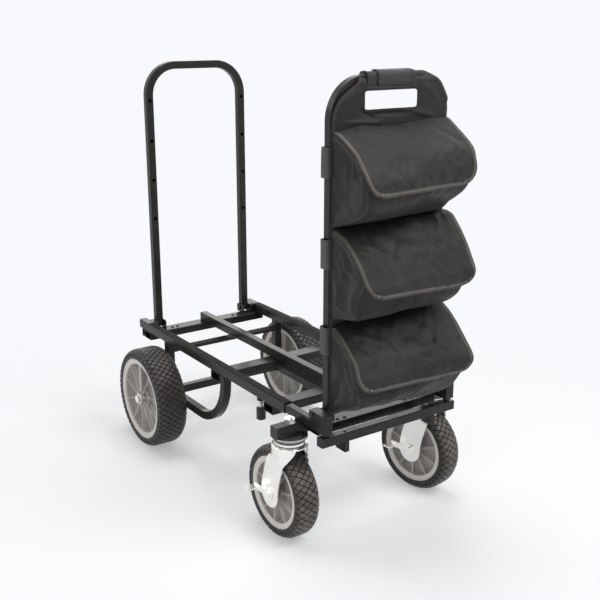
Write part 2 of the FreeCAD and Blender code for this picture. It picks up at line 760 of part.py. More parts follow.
def make_rear_wheels():
    for side, name in ((-1, "left"), (1, "right")):
        station = (f"{side}*{WHEEL_X}", "axle_y", "0")
        where = ("0", "0", "wheel_radius")
        place(node(f"{name}_rear_tyre",
                   tyre("wheel_radius", "wheel_width", "wheel_rim_radius", *where)), *station)
        place(node(f"{name}_rear_rim",
                   rim("wheel_rim_radius", "wheel_width", "axle_radius + 1", True, *where)),
              *station)
        rings = []
        for low in ("-1*wheel_width/2", "wheel_width/2 - bearing_width"):
            ring = rod("x", low, "0", "wheel_radius", "bearing_radius", "bearing_width")
            bore = rod("x", f"{low} - 1", "0", "wheel_radius", "axle_radius + run_clear",
                       "bearing_width + 2")
            rings.append(cut(ring, bore))
        place(node(f"{name}_wheel_bearings", *rings), *station)


# ---------------------------------------------------------------- casters

def fork():
    """Crown, swivel race and two leaning legs that hold the caster wheel's axle."""
    crown = rod("z", "0", "0", CROWN_LOW, "fork_crown_radius", "fork_plate")
    race = rod("z", "0", "0", CROWN_LOW, "race_radius",
               "fork_plate + race_height - gap")
    solids = [crown, race]
    for side in (-1, 1):
        leg = doc.addObject("Part::Wedge", "Leg")
        leg.Placement = FreeCAD.Placement(FreeCAD.Vector(),
                                          FreeCAD.Rotation(FreeCAD.Vector(1, 0, 0), 90))
        bind(leg, Xmin=mirror_low(side, FORK_INNER, FORK_OUTER),
             Xmax=f"{mirror_low(side, FORK_INNER, FORK_OUTER)} + fork_plate",
             X2min=mirror_low(side, FORK_INNER, FORK_OUTER),
             X2max=f"{mirror_low(side, FORK_INNER, FORK_OUTER)} + fork_plate",
             Ymin="caster_radius", Ymax=f"{CROWN_LOW} + fork_plate",
             Zmin="0 - caster_trail - fork_foot_radius",
             Zmax="fork_foot_radius - caster_trail",
             Z2min="0 - fork_top_back", Z2max="fork_top_front")
        foot = side_rod(side, FORK_INNER, FORK_OUTER, "caster_trail", "caster_radius",
                        "fork_foot_radius")
        solids += [leg, foot]
    body = fuse(*solids)
    bolt_way = rod("x", f"-1*{FORK_OUTER} - 1", "caster_trail", "caster_radius",
                   "caster_axle_radius + run_clear", f"2*{FORK_OUTER} + 2")
    pin_way = rod("z", "0", "0", f"{CROWN_LOW} - 1", "kingpin_radius + run_clear",
                  "fork_plate + race_height + 2")
    return cut(body, bolt_way, pin_way)


def brake_pedal():
    """A lever on the wheel axle, outside the left leg, with its tread behind the leg."""
    inner = f"({FORK_OUTER} + gap)"
    outer = f"({inner} + pedal_plate)"
    boss = side_rod(-1, inner, outer, "caster_trail", "caster_radius", "caster_axle_radius + 8")
    arm = side_box(-1, inner, outer, "caster_trail", "caster_radius - pedal_arm_h/2",
                   "pedal_reach", "pedal_arm_h")
    tread = side_box(-1, inner, f"{inner} + pedal_tread",
                     "caster_trail + pedal_reach - pedal_tread_lap",
                     "caster_radius - pedal_plate/2", "pedal_tread_depth", "pedal_plate")
    bore = side_rod(-1, f"{inner} - 1", f"{outer} + 1", "caster_trail", "caster_radius",
                    "caster_axle_radius + run_clear")
    return cut(fuse(boss, arm, tread), bore)


def caster_bolt():
    shank_end = f"({FORK_OUTER} + gap + pedal_plate + gap)"
    shank = rod("x", f"-1*{shank_end}", "caster_trail", "caster_radius", "caster_axle_radius",
                f"{shank_end} + {FORK_OUTER}")
    heads = [side_rod(-1, shank_end, f"{shank_end} + bolt_head", "caster_trail",
                      "caster_radius", "caster_axle_radius + 3.5"),
             side_rod(1, FORK_OUTER, f"{FORK_OUTER} + bolt_head + 1", "caster_trail",
                      "caster_radius", "caster_axle_radius + 3.5")]
    return fuse(shank, *heads)


def make_casters():
    where = ("0", "caster_trail", "caster_radius")
    for side, name in ((-1, "left"), (1, "right")):
        pieces = [
            node(f"{name}_caster_fork", fork()),
            node(f"{name}_caster_bolt", caster_bolt()),
            node(f"{name}_brake_pedal", brake_pedal()),
            node(f"{name}_caster_tyre",
                 tyre("caster_radius", "caster_width", "caster_rim_radius", *where)),
            node(f"{name}_caster_rim",
                 rim("caster_rim_radius", "caster_width", "caster_axle_radius + run_clear",
                     False, *where)),
        ]
        for piece in pieces:
            piece.setExpression("Placement.Rotation.Angle", linked(f"{name}_swivel"))
            place(piece, f"{side}*{KINGPIN_X}", KINGPIN_Y, "0")


def make_kingpins():
    """Stems of the casters: kingpin, nut on the arm tube and top plate of the race."""
    stems = []
    for side in (-1, 1):
        middle = f"{side}*{KINGPIN_X}"
        low = f"({CROWN_LOW} - kingpin_head_height)"
        shank = rod("z", middle, KINGPIN_Y, low, "kingpin_radius",
                    f"{INNER_LOW} + kingpin_nut_height + 3 - {low}")
        nut = hexagon(middle, KINGPIN_Y, INNER_LOW, "kingpin_radius + 6", "kingpin_nut_height")
        head = rod("z", middle, KINGPIN_Y, low, "kingpin_radius + 6", "kingpin_head_height - gap")
        plate = rod("z", middle, KINGPIN_Y, f"{ARM_LOW} - race_plate", "fork_crown_radius - 1",
                    "race_plate")
        stems.append(fuse(shank, nut, head, plate))
    node("caster_stems", *stems)


# ---------------------------------------------------------------- handles

def arch(post_y, low, shrink):
    """An upside-down U of square tube in the XZ plane with two bent corners."""
    half = f"({POST_OUTER} - {shrink})"
    top = f"({HANDLE_TOP} - {shrink})"
    size = f"(handle_size - 2*{shrink})"
    front = f"({post_y} - {size}/2)"
    outer = box(f"-1*{half}", front, low, f"2*{half}", size, f"{top} - {low}")
    outer = rounded(outer, f"handle_bend - {shrink}", lambda e, m: abs(
        m.z - value(top)) < .01 and abs(abs(m.x) - value(half)) < .01)
    inner_top = f"({top} - {size})"
    inner_half = f"({half} - {size})"
    inner = box(f"-1*{inner_half}", f"{front} - 1", f"{low} - 1", f"2*{inner_half}",
                f"{size} + 2", f"{inner_top} - {low} + 1")
    inner = rounded(inner, f"handle_bend - handle_size + {shrink}", lambda e, m: abs(
        m.z - value(inner_top)) < .01 and abs(abs(m.x) - value(inner_half)) < .01)
    return cut(outer, inner)


def handle(label, post_y, pivot_z, tail, round_ends):
    """A hollow handle with pivot bores and two columns of accessory holes."""
    low = f"({pivot_z} - {tail})"
    faces = [value(f"{post_y} - handle_size/2"), value(f"{post_y} + handle_size/2")]

    def along(edge, middle):
        on_face = min(abs(middle.y - face) for face in faces) < .01
        return on_face and edge.Length > value("handle_size") + .01

    solid = arch(post_y, low, "0")
    if round_ends:
        solid = rounded(solid, "handle_size/2 - tail_flat", lambda e, m: abs(
            m.z - value(low)) < .01 and abs(e.tangentAt(e.FirstParameter).x) > .99)
    solid = rounded(solid, "tube_corner", along)
    tube = cut(solid, arch(post_y, f"({low} - 1)", "handle_wall"))
    tools = []
    for side in (-1, 1):
        tools.append(side_rod(side, f"{POST_INNER} - 1", f"{POST_OUTER} + 1", post_y, pivot_z,
                              "pivot_radius + run_clear"))
        for index in range(4):
            tools.append(rod("y", f"{side}*({POST_OUTER} - handle_size/2)",
                             f"{post_y} - handle_size/2 - 1",
                             f"{HANDLE_TOP} - post_hole_drop - {index}*post_hole_pitch",
                             "post_hole_radius", "handle_wall + 2"))
    node(label, cut(tube, *tools))


def make_rear_brackets():
    """Ears between the rails and the rear posts that carry the rear handle, and their bolts.

    The pivot lies at half the rails' height, so the handle folds down flush between them.
    """
    ears = []
    bolts = []
    inside = f"({POST_INNER} - gap)"
    outside = f"({POST_OUTER} + gap)"
    front = f"({REAR_POST_Y} - bracket_length/2 - bracket_ahead)"
    for side in (-1, 1):
        for inner, outer in ((f"{inside} - bracket_plate", inside), (outside, RAIL_INNER)):
            ear = side_box(side, inner, outer, front, DECK_LOW, "bracket_length", "rail_h")
            ear = rounded(ear, "bracket_corner", lambda e, m: abs(
                m.z - value(DECK_TOP)) < .01 and abs(e.tangentAt(e.FirstParameter).x) > .99)
            bore = side_rod(side, f"{inner} - 1", f"{outer} + 1", REAR_POST_Y, REAR_PIVOT_Z,
                            "pivot_radius + run_clear")
            ears.append(cut(ear, bore))
        shank = side_rod(side, f"{inside} - bracket_plate", RAIL_INNER, REAR_POST_Y,
                         REAR_PIVOT_Z, "pivot_radius")
        head = side_rod(side, f"{inside} - bracket_plate - pivot_head",
                        f"{inside} - bracket_plate", REAR_POST_Y, REAR_PIVOT_Z,
                        "pivot_head_radius")
        bolts.append(fuse(shank, head))
    node("rear_hinge_brackets", *ears)
    node("frame_fasteners", *bolts, *frame_screws())


# ---------------------------------------------------------------- bag

def make_bag_panel():
    """Back panel of the bag: an arched yoke with the hand window, sewn to the panel below."""
    top = f"({HANDLE_TOP} - handle_size - strap_cloth - 2*gap)"
    panel = box(minus(BAG_HALF), PANEL_FRONT, PANEL_LOW, f"2*{BAG_HALF}", "cloth",
                f"{top} - {PANEL_LOW}")
    panel = rounded(panel, "panel_corner", lambda e, m: abs(m.z - value(top)) < .01
                    and abs(abs(m.x) - value(BAG_HALF)) < .01)
    window = box("-1*window_left", f"{PANEL_FRONT} - 1", f"{WINDOW_TOP} - window_h",
                 "window_left + window_right", "cloth + 2", "window_h")
    window = rounded(window, "window_corner", lambda e, m: abs(e.Length - value("cloth + 2")) < .01)
    wide = (f"-1*{BAG_HALF} - 1", f"{PANEL_FRONT} - 1")
    size = (f"2*{BAG_HALF} + 2", "cloth + 2")
    below = box(*wide, f"{PANEL_LOW} - 1", *size, f"{FLAP_LINE} - {PANEL_LOW} + 1")
    above = box(*wide, FLAP_LINE, *size, f"{top} - {FLAP_LINE} + 1")
    node("bag_back_panel", cut(panel, window, below), cut(panel, above))


def pocket_profile(line, inset):
    """Side outline of a pocket below its flap line; inset is the cloth taken off each wall."""
    back = f"{PANEL_FRONT} - gap - {inset}"
    front = f"{PANEL_FRONT} - pocket_depth + {inset}"
    low = f"{line} - pocket_h"
    points = [
        (back, f"{line} - mouth_drop"),
        (back, f"{low} + {inset}"),
        (f"{PANEL_FRONT} - keel_depth", f"{low} + keel_rise + {inset}"),
        (f"{front} + chin_lean", f"{low} + chin_rise + {inset}"),
        (front, f"{low} + belly_rise"),
        (f"{front} + lip_lean", f"{line} - mouth_drop - mouth_slope"),
    ]
    return points


def open_profile(line):
    """The hollow of a pocket, run up past its sloping top edge so that the top is open."""
    points = pocket_profile(line, "cloth")
    points[0] = (points[0][0], line)
    points[-1] = (points[-1][0], f"{line} - mouth_slope + mouth_drop - 4")
    return points


def flap_profile(line):
    """Side outline of a flap: out and down from its seam, over the pocket, to its lip."""
    back = f"{PANEL_FRONT} - hinge_gap"
    front = f"{PANEL_FRONT} - flap_reach"
    lip = f"{line} - flap_drop"
    return [
        (back, line),
        (f"{front} + shoulder_reach", f"{lip} + shoulder_rise"),
        (f"{front} + brow_reach", f"{lip} + brow_rise"),
        (front, lip),
        (f"{front} + cloth", lip),
        (f"{front} + brow_reach + cloth", f"{lip} + brow_rise - 1"),
        (f"{front} + shoulder_reach + 2", f"{lip} + shoulder_rise - cloth"),
        (back, f"{line} - 1.1*cloth"),
    ]


def make_pockets():
    for index, name in enumerate(("upper", "middle", "lower")):
        line = f"({FLAP_LINE} - {index}*pocket_pitch)"
        node(f"{name}_pocket", extrusion(f"{name}_pocket", pocket_profile(line, "0"),
                                         f"2*{BAG_HALF}", open_profile(line),
                                         f"2*({BAG_HALF} - cloth)"))
        node(f"{name}_flap", extrusion(f"{name}_flap", flap_profile(line),
                                       f"2*({BAG_HALF} + flap_side)"))


def make_bag_ties():
    """Strap loops round both posts and the wrap round the handle's top bar."""
    loops = []
    size = "(handle_size + 2*gap + 2*strap_cloth)"
    inner = "(handle_size + 2*gap)"
    for side in (-1, 1):
        middle = f"{side}*({POST_OUTER} - handle_size/2)"
        for index in range(3):
            low = f"({HANDLE_TOP} - strap_drop - strap_height/2 - {index}*strap_pitch)"
            loop = box(f"{middle} - {size}/2", f"{FRONT_POST_Y} - {size}/2", low, size, size,
                       "strap_height")
            hole = box(f"{middle} - {inner}/2", f"{FRONT_POST_Y} - {inner}/2", f"{low} - 1",
                       inner, inner, "strap_height + 2")
            loops.append(cut(loop, hole))
    node("bag_straps", *loops)
    low = f"({HANDLE_TOP} - handle_size - gap - strap_cloth)"
    wrap = box("-1*wrap_width/2", f"{FRONT_POST_Y} - {size}/2", low, "wrap_width", size, size)
    wrap = rounded(wrap, "2", lambda e, m: abs(e.Length - value("wrap_width")) < .01)
    hole = box("-1*wrap_width/2 - 1", f"{FRONT_POST_Y} - {inner}/2",
               f"{low} + strap_cloth", "wrap_width + 2", inner, inner)
    node("handle_wrap", cut(wrap, hole))


# ---------------------------------------------------------------- build

def check():
    failed = [obj.Label for obj in doc.Objects
              if "Invalid" in obj.State or "Error" in obj.State]
    for part in NODES:
        if part.Shape.isNull() or not part.Shape.isValid() or not part.Shape.Solids:
            failed.append(part.Label)
    if failed:
        raise RuntimeError(f"failed objects: {failed}")


def export():
    os.makedirs("parts", exist_ok=True)
    for part in NODES:
        part.Shape.exportStep(os.path.join("parts", f"{part.Label}.step"))
        bounds = part.Shape.BoundBox
        print(f"{part.Label:24s} {len(part.Shape.Solids)} solids, {part.Shape.Volume / 1000:9.1f} cm3, "
              f"x {bounds.XMin:7.1f} {bounds.XMax:7.1f}  y {bounds.YMin:7.1f} {bounds.YMax:7.1f}  "
              f"z {bounds.ZMin:7.1f} {bounds.ZMax:7.1f}")


make_outer_rails()
make_center_rail()
make_cross_tubes()
make_legs()
make_side_braces()
make_deck_trim()
make_axle_hardware()
make_lock_nuts()
make_plungers()
make_inner_rails()
make_front_tubes()
make_sockets()
make_rear_wheels()
make_casters()
make_kingpins()
make_rear_brackets()
handle("rear_handle", REAR_POST_Y, REAR_PIVOT_Z, "rear_tail", True)
handle("front_handle", FRONT_POST_Y, PIVOT_Z, "pivot_tail", False)
make_bag_panel()
make_pockets()
make_bag_ties()
doc.recompute()
check()
export()
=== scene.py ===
"""Rolling equipment cart with a three-pocket bag: finishes, detailed pieces and studio."""

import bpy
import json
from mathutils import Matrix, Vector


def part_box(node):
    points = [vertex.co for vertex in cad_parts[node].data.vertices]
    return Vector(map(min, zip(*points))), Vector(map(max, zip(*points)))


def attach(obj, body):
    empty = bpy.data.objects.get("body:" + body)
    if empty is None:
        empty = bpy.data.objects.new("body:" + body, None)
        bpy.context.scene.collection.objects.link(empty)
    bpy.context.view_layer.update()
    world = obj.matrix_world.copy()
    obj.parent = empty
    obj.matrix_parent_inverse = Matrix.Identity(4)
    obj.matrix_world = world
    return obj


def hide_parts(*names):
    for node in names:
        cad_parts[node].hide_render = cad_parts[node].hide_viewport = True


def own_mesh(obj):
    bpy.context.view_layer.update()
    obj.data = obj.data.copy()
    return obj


bl_info = {
    "name": "Equipment Cart",
    "version": (1, 0, 0),
    "blender": (4, 5, 0),
    "location": "3D View > Sidebar > Cart",
    "description": "Builds the soft goods, wheels, finishes and studio of a folding equipment cart",
    "category": "Object",
}

import json
import math
from bisect import bisect_left

import bmesh
import bpy
from bpy.props import FloatProperty, FloatVectorProperty, IntProperty, PointerProperty
from mathutils import Matrix, Vector, noise

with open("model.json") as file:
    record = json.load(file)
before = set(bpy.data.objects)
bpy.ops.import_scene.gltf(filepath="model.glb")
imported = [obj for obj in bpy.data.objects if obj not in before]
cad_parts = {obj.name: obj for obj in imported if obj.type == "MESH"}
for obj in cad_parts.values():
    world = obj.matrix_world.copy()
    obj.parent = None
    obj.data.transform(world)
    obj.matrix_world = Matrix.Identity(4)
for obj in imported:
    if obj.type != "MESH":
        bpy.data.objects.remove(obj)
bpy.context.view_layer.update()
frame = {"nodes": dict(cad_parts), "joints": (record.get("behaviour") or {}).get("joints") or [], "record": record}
JOINTS = {joint["name"]: joint for joint in frame["joints"]}
SLOT_OF = {part["node"]: part["material_slot"] for part in frame["record"]["subparts"]}
POCKETS = ("upper", "middle", "lower")
SIDES = ("left", "right")


# ------------------------------------------------------------------ sizes and colours

def millimetres(name, description, default):
    """A length property in metres whose default is written in millimetres."""
    return FloatProperty(name=name, description=description, default=default / 1000,
                         unit="LENGTH", min=0.0)


def colour(name, description, default):
    """A colour property."""
    return FloatVectorProperty(name=name, description=description, default=default,
                               subtype="COLOR", size=3, min=0.0, max=1.0)


class CartWheelSizes(bpy.types.PropertyGroup):
    """Sizes of the tyres and rims."""
    lug_height: millimetres("Lug height", "How far a tread lug stands up", 3.0)
    lug_across: millimetres("Lug width", "Lug size along the axle", 16.6)
    lug_along: millimetres("Lug length", "Lug size round the tyre", 14.2)
    row_pitch: millimetres("Row pitch", "Distance between two rows of lugs", 9.3)
    ring_width: millimetres("Ring width", "Flat ring of the rear rim beside the tyre", 13.0)
    web_depth: millimetres("Web depth", "How deep the rear rim's web lies", 18.0)
    rib_width: millimetres("Rib width", "Thickness of a rim rib", 4.4)
    ribs: IntProperty(name="Ribs", description="Ribs on each face of a rim", default=10, min=3)


class CartBagSizes(bpy.types.PropertyGroup):
    """Sizes of the bag's cloth and trim."""
    cloth: millimetres("Cloth", "Thickness of the bag cloth", 1.4)
    tape_width: millimetres("Tape width", "Width of the binding tape", 8.0)
    flap_corner: millimetres("Flap corner", "Radius of a flap's front corners", 34.0)
    pocket_corner: millimetres("Pocket corner", "Radius between gusset and front", 15.0)
    window_corner: millimetres("Window corner", "Radius of the hand window's corners", 7.0)


class CartColours(bpy.types.PropertyGroup):
    """Main colours of the finishes."""
    paint: colour("Paint", "Powder coat on the tubes", (0.0175, 0.0161, 0.0144))
    cloth: colour("Cloth", "Woven bag cloth", (0.0172, 0.0169, 0.0162))
    tape: colour("Tape", "Binding tape on the bag", (0.115, 0.105, 0.094))
    rubber: colour("Rubber", "Tyre rubber", (0.0150, 0.0142, 0.0135))
    # lighter lug tops: part dust, part painted highlight
    lug_dust_and_highlight: colour("Lug dust", "Lighter tops of the tread lugs", (0.170, 0.146, 0.126))
    rim: colour("Rim", "Light grey of the rims", (0.40, 0.38, 0.36))
    zinc: colour("Zinc", "Bright plating", (0.965, 0.945, 0.905))
    plastic: colour("Plastic", "Plugs and moulded fittings", (0.022, 0.021, 0.020))
    grit: colour("Grit", "Anti-slip strips", (0.012, 0.012, 0.012))
    spark: colour("Grit sparks", "Worn and bright grains of the strips", (0.055, 0.050, 0.046))
    floor: colour("Floor", "Floor under the cart", (0.905, 0.945, 0.990))
    studio: colour("Studio", "Backdrop and the floor's glow", (0.930, 0.947, 0.972))


GROUPS = {"cart_wheels": CartWheelSizes, "cart_bag": CartBagSizes, "cart_colours": CartColours}


# ------------------------------------------------------------------ shader building

class Term:
    """A socket of a node tree that takes part in ordinary arithmetic."""

    def __init__(self, finish, socket):
        self.finish = finish
        self.socket = socket

    def calculate(self, operation, first, second):
        return self.finish.maths(operation, first, second)

    def __add__(self, other):
        return self.calculate("ADD", self, other)

    __radd__ = __add__

    def __sub__(self, other):
        return self.calculate("SUBTRACT", self, other)

    def __rsub__(self, other):
        return self.calculate("SUBTRACT", other, self)

    def __mul__(self, other):
        return self.calculate("MULTIPLY", self, other)

    __rmul__ = __mul__


class Nodes:
    """A node tree under construction."""

    def __init__(self, tree):
        self.tree = tree

    def add(self, kind, settings=None, inputs=None, out=0):
        """Adds a node, sets it up, fills its sockets and returns one output."""
        node = self.tree.nodes.new(kind)
        for key, value in (settings or {}).items():
            setattr(node, key, value)
        for key, value in (inputs or {}).items():
            self.fill(node.inputs[key], value)
        return Term(self, node.outputs[out])

    def fill(self, socket, value):
        """Links a term to a socket, or sets the socket's number or colour."""
        if isinstance(value, Term):
            self.tree.links.new(value.socket, socket)
        else:
            socket.default_value = value

    def maths(self, operation, *values):
        """A Math node on its values."""
        return self.add("ShaderNodeMath", {"operation": operation}, dict(enumerate(values)))

    def vector(self, operation, *values, out=0):
        """A Vector Math node on its values."""
        return self.add("ShaderNodeVectorMath", {"operation": operation},
                        dict(enumerate(values)), out)

    def axes(self, vector):
        """The X, Y and Z of a vector."""
        parts = self.add("ShaderNodeSeparateXYZ", {}, {"Vector": vector}).socket.node
        return [Term(self, parts.outputs[label]) for label in "XYZ"]

    def seen(self):
        """1 for rays from the camera, from gloss and through clear things."""
        camera, gloss, clear = (self.add("ShaderNodeLightPath", out=label) for label in
                                ("Is Camera Ray", "Is Glossy Ray", "Is Transmission Ray"))
        return self.maths("MAXIMUM", self.maths("MAXIMUM", camera, gloss), clear)

    def backdrop(self, mask, own, kind, tone, end):
        """Shows one plain tone where a mask is 1, and the own look elsewhere."""
        plain = self.add(kind, {}, {"Color": (*tone, 1.0), "Strength": 1.0})
        both = self.add("ShaderNodeMixShader", {}, {0: mask, 1: Term(self, own), 2: plain})
        self.fill(self.tree.nodes[end].inputs["Surface"], both)


class Finish(Nodes):
    """A material's node tree under construction, with its shader."""

    def __init__(self, name, constants):
        self.material = bpy.data.materials.new(name)
        self.material.use_nodes = True
        super().__init__(self.material.node_tree)
        self.shader = self.tree.nodes["Principled BSDF"]
        for label, value in constants.items():
            self.shader.inputs[label].default_value = value
        self.place = self.add("ShaderNodeTexCoord", out="Object")

    def cloud(self, scale, detail=2.0):
        """Soft noise from 0 to 1."""
        return self.add("ShaderNodeTexNoise", {"noise_dimensions": "3D"},
                        {"Vector": self.place, "Scale": scale, "Detail": detail})

    def wave(self, value, pitch):
        """A sine from 0 to 1 with the given pitch."""
        return self.maths("SINE", value * (2 * math.pi / pitch)) * 0.5 + 0.5

    def step(self, value, low, high):
        """0 under low, 1 over high, smooth between."""
        return self.add("ShaderNodeMapRange", {"interpolation_type": "SMOOTHSTEP"},
                        {"Value": value, "From Min": low, "From Max": high})

    def mix(self, mask, first, second):
        """A colour between two colours."""
        first, second = (tone if isinstance(tone, Term) else (*tone, 1.0)
                         for tone in (first, second))
        return self.add("ShaderNodeMix", {"data_type": "RGBA"},
                        {0: mask, 6: first, 7: second}, out=2)

    def bump(self, height, distance, strength=1.0):
        """Feeds the shader's normal from a height from 0 to 1."""
        self.fill(self.shader.inputs["Normal"], self.add(
            "ShaderNodeBump", {}, {"Height": height, "Distance": distance,
                                   "Strength": strength}))

    def set(self, **values):
        """Feeds the shader's base colour, roughness or metallic."""
        for label, value in values.items():
            if not isinstance(value, (Term, float)):
                value = (*value, 1.0)
            self.fill(self.shader.inputs[label.replace("_", " ").title()], value)


def shade(tone, factor):
    """A colour made darker or lighter."""
    return tuple(min(1.0, part * factor) for part in tone)


def powder_coat(name, tone, gloss=0.24):
    """Semi-gloss powder coat: fine orange peel, faint dust and handling marks."""
    finish = Finish(name, {"Specular IOR Level": 0.24})
    marks = finish.step(finish.cloud(38.0, 6.0), 0.52, 0.74)
    dust = finish.step(finish.cloud(7.0, 4.0), 0.35, 0.75)
    finish.set(base_color=finish.mix(marks * 0.5 + dust * 0.25, tone, shade(tone, 2.0)),
               roughness=dust * 0.10 + marks * 0.08 + gloss)
    finish.bump(finish.cloud(900.0, 2.0), 0.00012, 0.5)
    return finish.material


def bright_plate(name, tone, gloss):
    """Bright plating with a faint spangle and brushed micro scratches."""
    finish = Finish(name, {"Metallic": 1.0})
    spangle = finish.add("ShaderNodeTexVoronoi", {"feature": "F1"},
                         {"Vector": finish.place, "Scale": 85.0}, out="Color")
    patch = finish.add("ShaderNodeSeparateColor", {}, {"Color": spangle})
    stain = finish.step(finish.cloud(26.0, 5.0), 0.45, 0.75)
    finish.set(base_color=finish.mix(stain * 0.35 + patch * 0.12, tone, shade(tone, 0.78)),
               roughness=patch * 0.04 + stain * 0.08 + gloss)
    finish.bump(finish.cloud(420.0, 3.0), 0.00008, 0.4)
    return finish.material


def banded_race(name, tone, bands):
    """Turned race plates: bright steel with darker bands that are painted reflections."""
    finish = Finish(name, {"Metallic": 1.0})
    high = finish.axes(finish.place)[2]
    painted_reflection_bands = None
    # each band is a painted reflection, darker than the steel
    for low, top in bands:
        band = finish.step(high, low, low + 0.0007) - finish.step(high, top - 0.0007, top)
        painted_reflection_bands = band if painted_reflection_bands is None else painted_reflection_bands + band
    stain = finish.cloud(40.0, 4.0)
    finish.set(base_color=finish.mix(painted_reflection_bands, finish.mix(stain, tone, shade(tone, 0.86)),
                                     shade(tone, 0.12)),
               roughness=stain * 0.12 + 0.20)
    finish.bump(finish.cloud(420.0, 3.0), 0.00008, 0.4)
    return finish.material


def moulded_plastic(name, tone):
    """Moulded plastic with a fine spark-eroded grain."""
    finish = Finish(name, {"Specular IOR Level": 0.4})
    cloud = finish.cloud(22.0, 4.0)
    finish.set(base_color=finish.mix(cloud, shade(tone, 0.85), shade(tone, 1.2)),
               roughness=cloud * 0.12 + 0.45)
    finish.bump(finish.cloud(1500.0, 1.0), 0.0001, 0.5)
    return finish.material


def grit_rubber(name, tone, bright):
    """Black anti-slip strip: coarse mineral grit that catches the light."""
    finish = Finish(name, {"Specular IOR Level": 0.15})
    grit = finish.add("ShaderNodeTexVoronoi", {"feature": "F1"},
                      {"Vector": finish.place, "Scale": 620.0}, out="Distance")
    worn = finish.step(finish.cloud(55.0, 5.0), 0.5, 0.75)
    spark = finish.step(finish.cloud(360.0, 1.0), 0.60, 0.72)
    finish.set(base_color=finish.mix(worn * 0.4 + spark * 0.6, tone, bright),
               roughness=0.78 - spark * 0.25)
    finish.bump(grit, 0.0006, 0.8)
    return finish.material


def axle_distance(finish, centre, axis):
    """Distance of the surface from a wheel's axle, and from the wheel's middle along it."""
    arm = finish.vector("SUBTRACT", finish.place, centre)
    across = finish.vector("CROSS_PRODUCT", arm, axis)
    side = finish.vector("DOT_PRODUCT", arm, axis, out="Value")
    return finish.vector("LENGTH", across, out="Value"), finish.maths("ABSOLUTE", side)


def tyre_rubber(name, tones, centre, axis, section, lug, top_dust_and_highlight):
    """Tyre rubber: lug tops lighter with dust and a painted highlight, grooves darkened with painted shade, and a
    plain sidewall.
    """
    finish = Finish(name, {"Specular IOR Level": 0.45})
    crown, shoulder, flat = section
    reach, side = axle_distance(finish, centre, axis)
    over = finish.maths("MAXIMUM", side - flat, 0.0)
    up = reach - (crown - shoulder)
    rise = finish.maths("SQRT", over * over + up * up) - shoulder
    top = finish.step(rise, lug * 0.62, lug * 0.90) * finish.step(reach, crown - 0.011, crown)
    # the grooves between the lugs get painted shade
    deep = 1 - finish.step(rise, 0.0, lug * 0.5)
    tread = deep * finish.step(reach, crown - 0.012, crown - 0.009)
    dust = finish.step(finish.cloud(30.0, 5.0), 0.30, 0.72)
    fleck = finish.step(finish.cloud(260.0, 3.0), 0.42, 0.70)
    # lug tops: noisy dust plus an even share of painted highlight
    worn = top * (dust * 0.6 + fleck * 0.2 + 0.2)
    base = finish.mix(tread, tones.rubber, shade(tones.rubber, 0.25))
    finish.set(base_color=finish.mix(worn, base, shade(tones.lug_dust_and_highlight, top_dust_and_highlight)),
               roughness=0.50 + fleck * 0.12 - top * 0.12 + tread * 0.3)
    finish.bump(fleck + finish.cloud(700.0, 2.0), 0.0002, 0.5)
    return finish.material


def rim_plastic(name, tones, centre, axis, ring, crest):
    """Grey rim: ring, rib crests and hub face painted lighter as highlight, and the recessed web painted duller as
    shade behind them.
    """
    finish = Finish(name, {"Specular IOR Level": 0.42})
    reach, side = axle_distance(finish, centre, axis)
    # painted highlight on the ring, rib crests and hub face; the rest, the web, gets painted shade
    light = finish.maths("MAXIMUM", finish.step(reach, ring - 0.003, ring + 0.001),
                         finish.step(side, crest - 0.0065, crest - 0.0015))
    cloud = finish.cloud(16.0, 4.0)
    fleck = finish.step(finish.cloud(420.0, 2.0), 0.45, 0.75)
    # web: painted shade; face: painted highlight
    web = finish.mix(cloud, shade(tones.rim, 0.82), shade(tones.rim, 1.02))
    face = finish.mix(cloud, shade(tones.rim, 1.70), shade(tones.rim, 1.95))
    finish.set(base_color=finish.mix(light, web, face),
               roughness=0.36 + cloud * 0.10 + fleck * 0.05)
    finish.bump(fleck, 0.00012, 0.5)
    return finish.material


def woven(finish, pitch):
    """Height of a plain weave that runs over all sides of a sewn piece."""
    x, y, z = finish.axes(finish.place)
    return finish.wave(x + y, pitch) * finish.wave(z - y, pitch)


def bag_cloth(name, tone, pitch=0.0011):
    """Woven nylon with slubs, faded patches and a soft sheen; returns the open finish."""
    finish = Finish(name, {"Specular IOR Level": 0.26, "Sheen Weight": 0.08,
                           "Sheen Roughness": 0.45})
    weave = woven(finish, pitch)
    faded = finish.step(finish.cloud(9.0, 5.0), 0.30, 0.74)
    slub = finish.step(finish.cloud(190.0, 3.0), 0.40, 0.72)
    finish.set(base_color=finish.mix(faded * 0.55 + weave * 0.25 + slub * 0.20,
                                     shade(tone, 0.72), shade(tone, 1.42)),
               roughness=0.60 - weave * 0.12 - faded * 0.06)
    finish.bump(weave * 0.6 + slub * 0.4, 0.00035, 0.55)
    return finish


STITCH_PITCH = 0.0042
STITCH_HALF = 0.0008
RIB_PITCH = 0.0016


def dashes(finish, along, across, place):
    """Mask of one row of stitches: along the seam, at one place across it."""
    line = finish.maths("ABSOLUTE", across - place)
    return (1 - finish.step(line, STITCH_HALF * 0.6, STITCH_HALF * 1.3)) * finish.step(
        finish.wave(along, STITCH_PITCH), 0.30, 0.42)


def uv_axes(finish):
    """The piece's own cloth coordinates in metres."""
    return finish.axes(finish.add("ShaderNodeTexCoord", out="UV"))[:2]


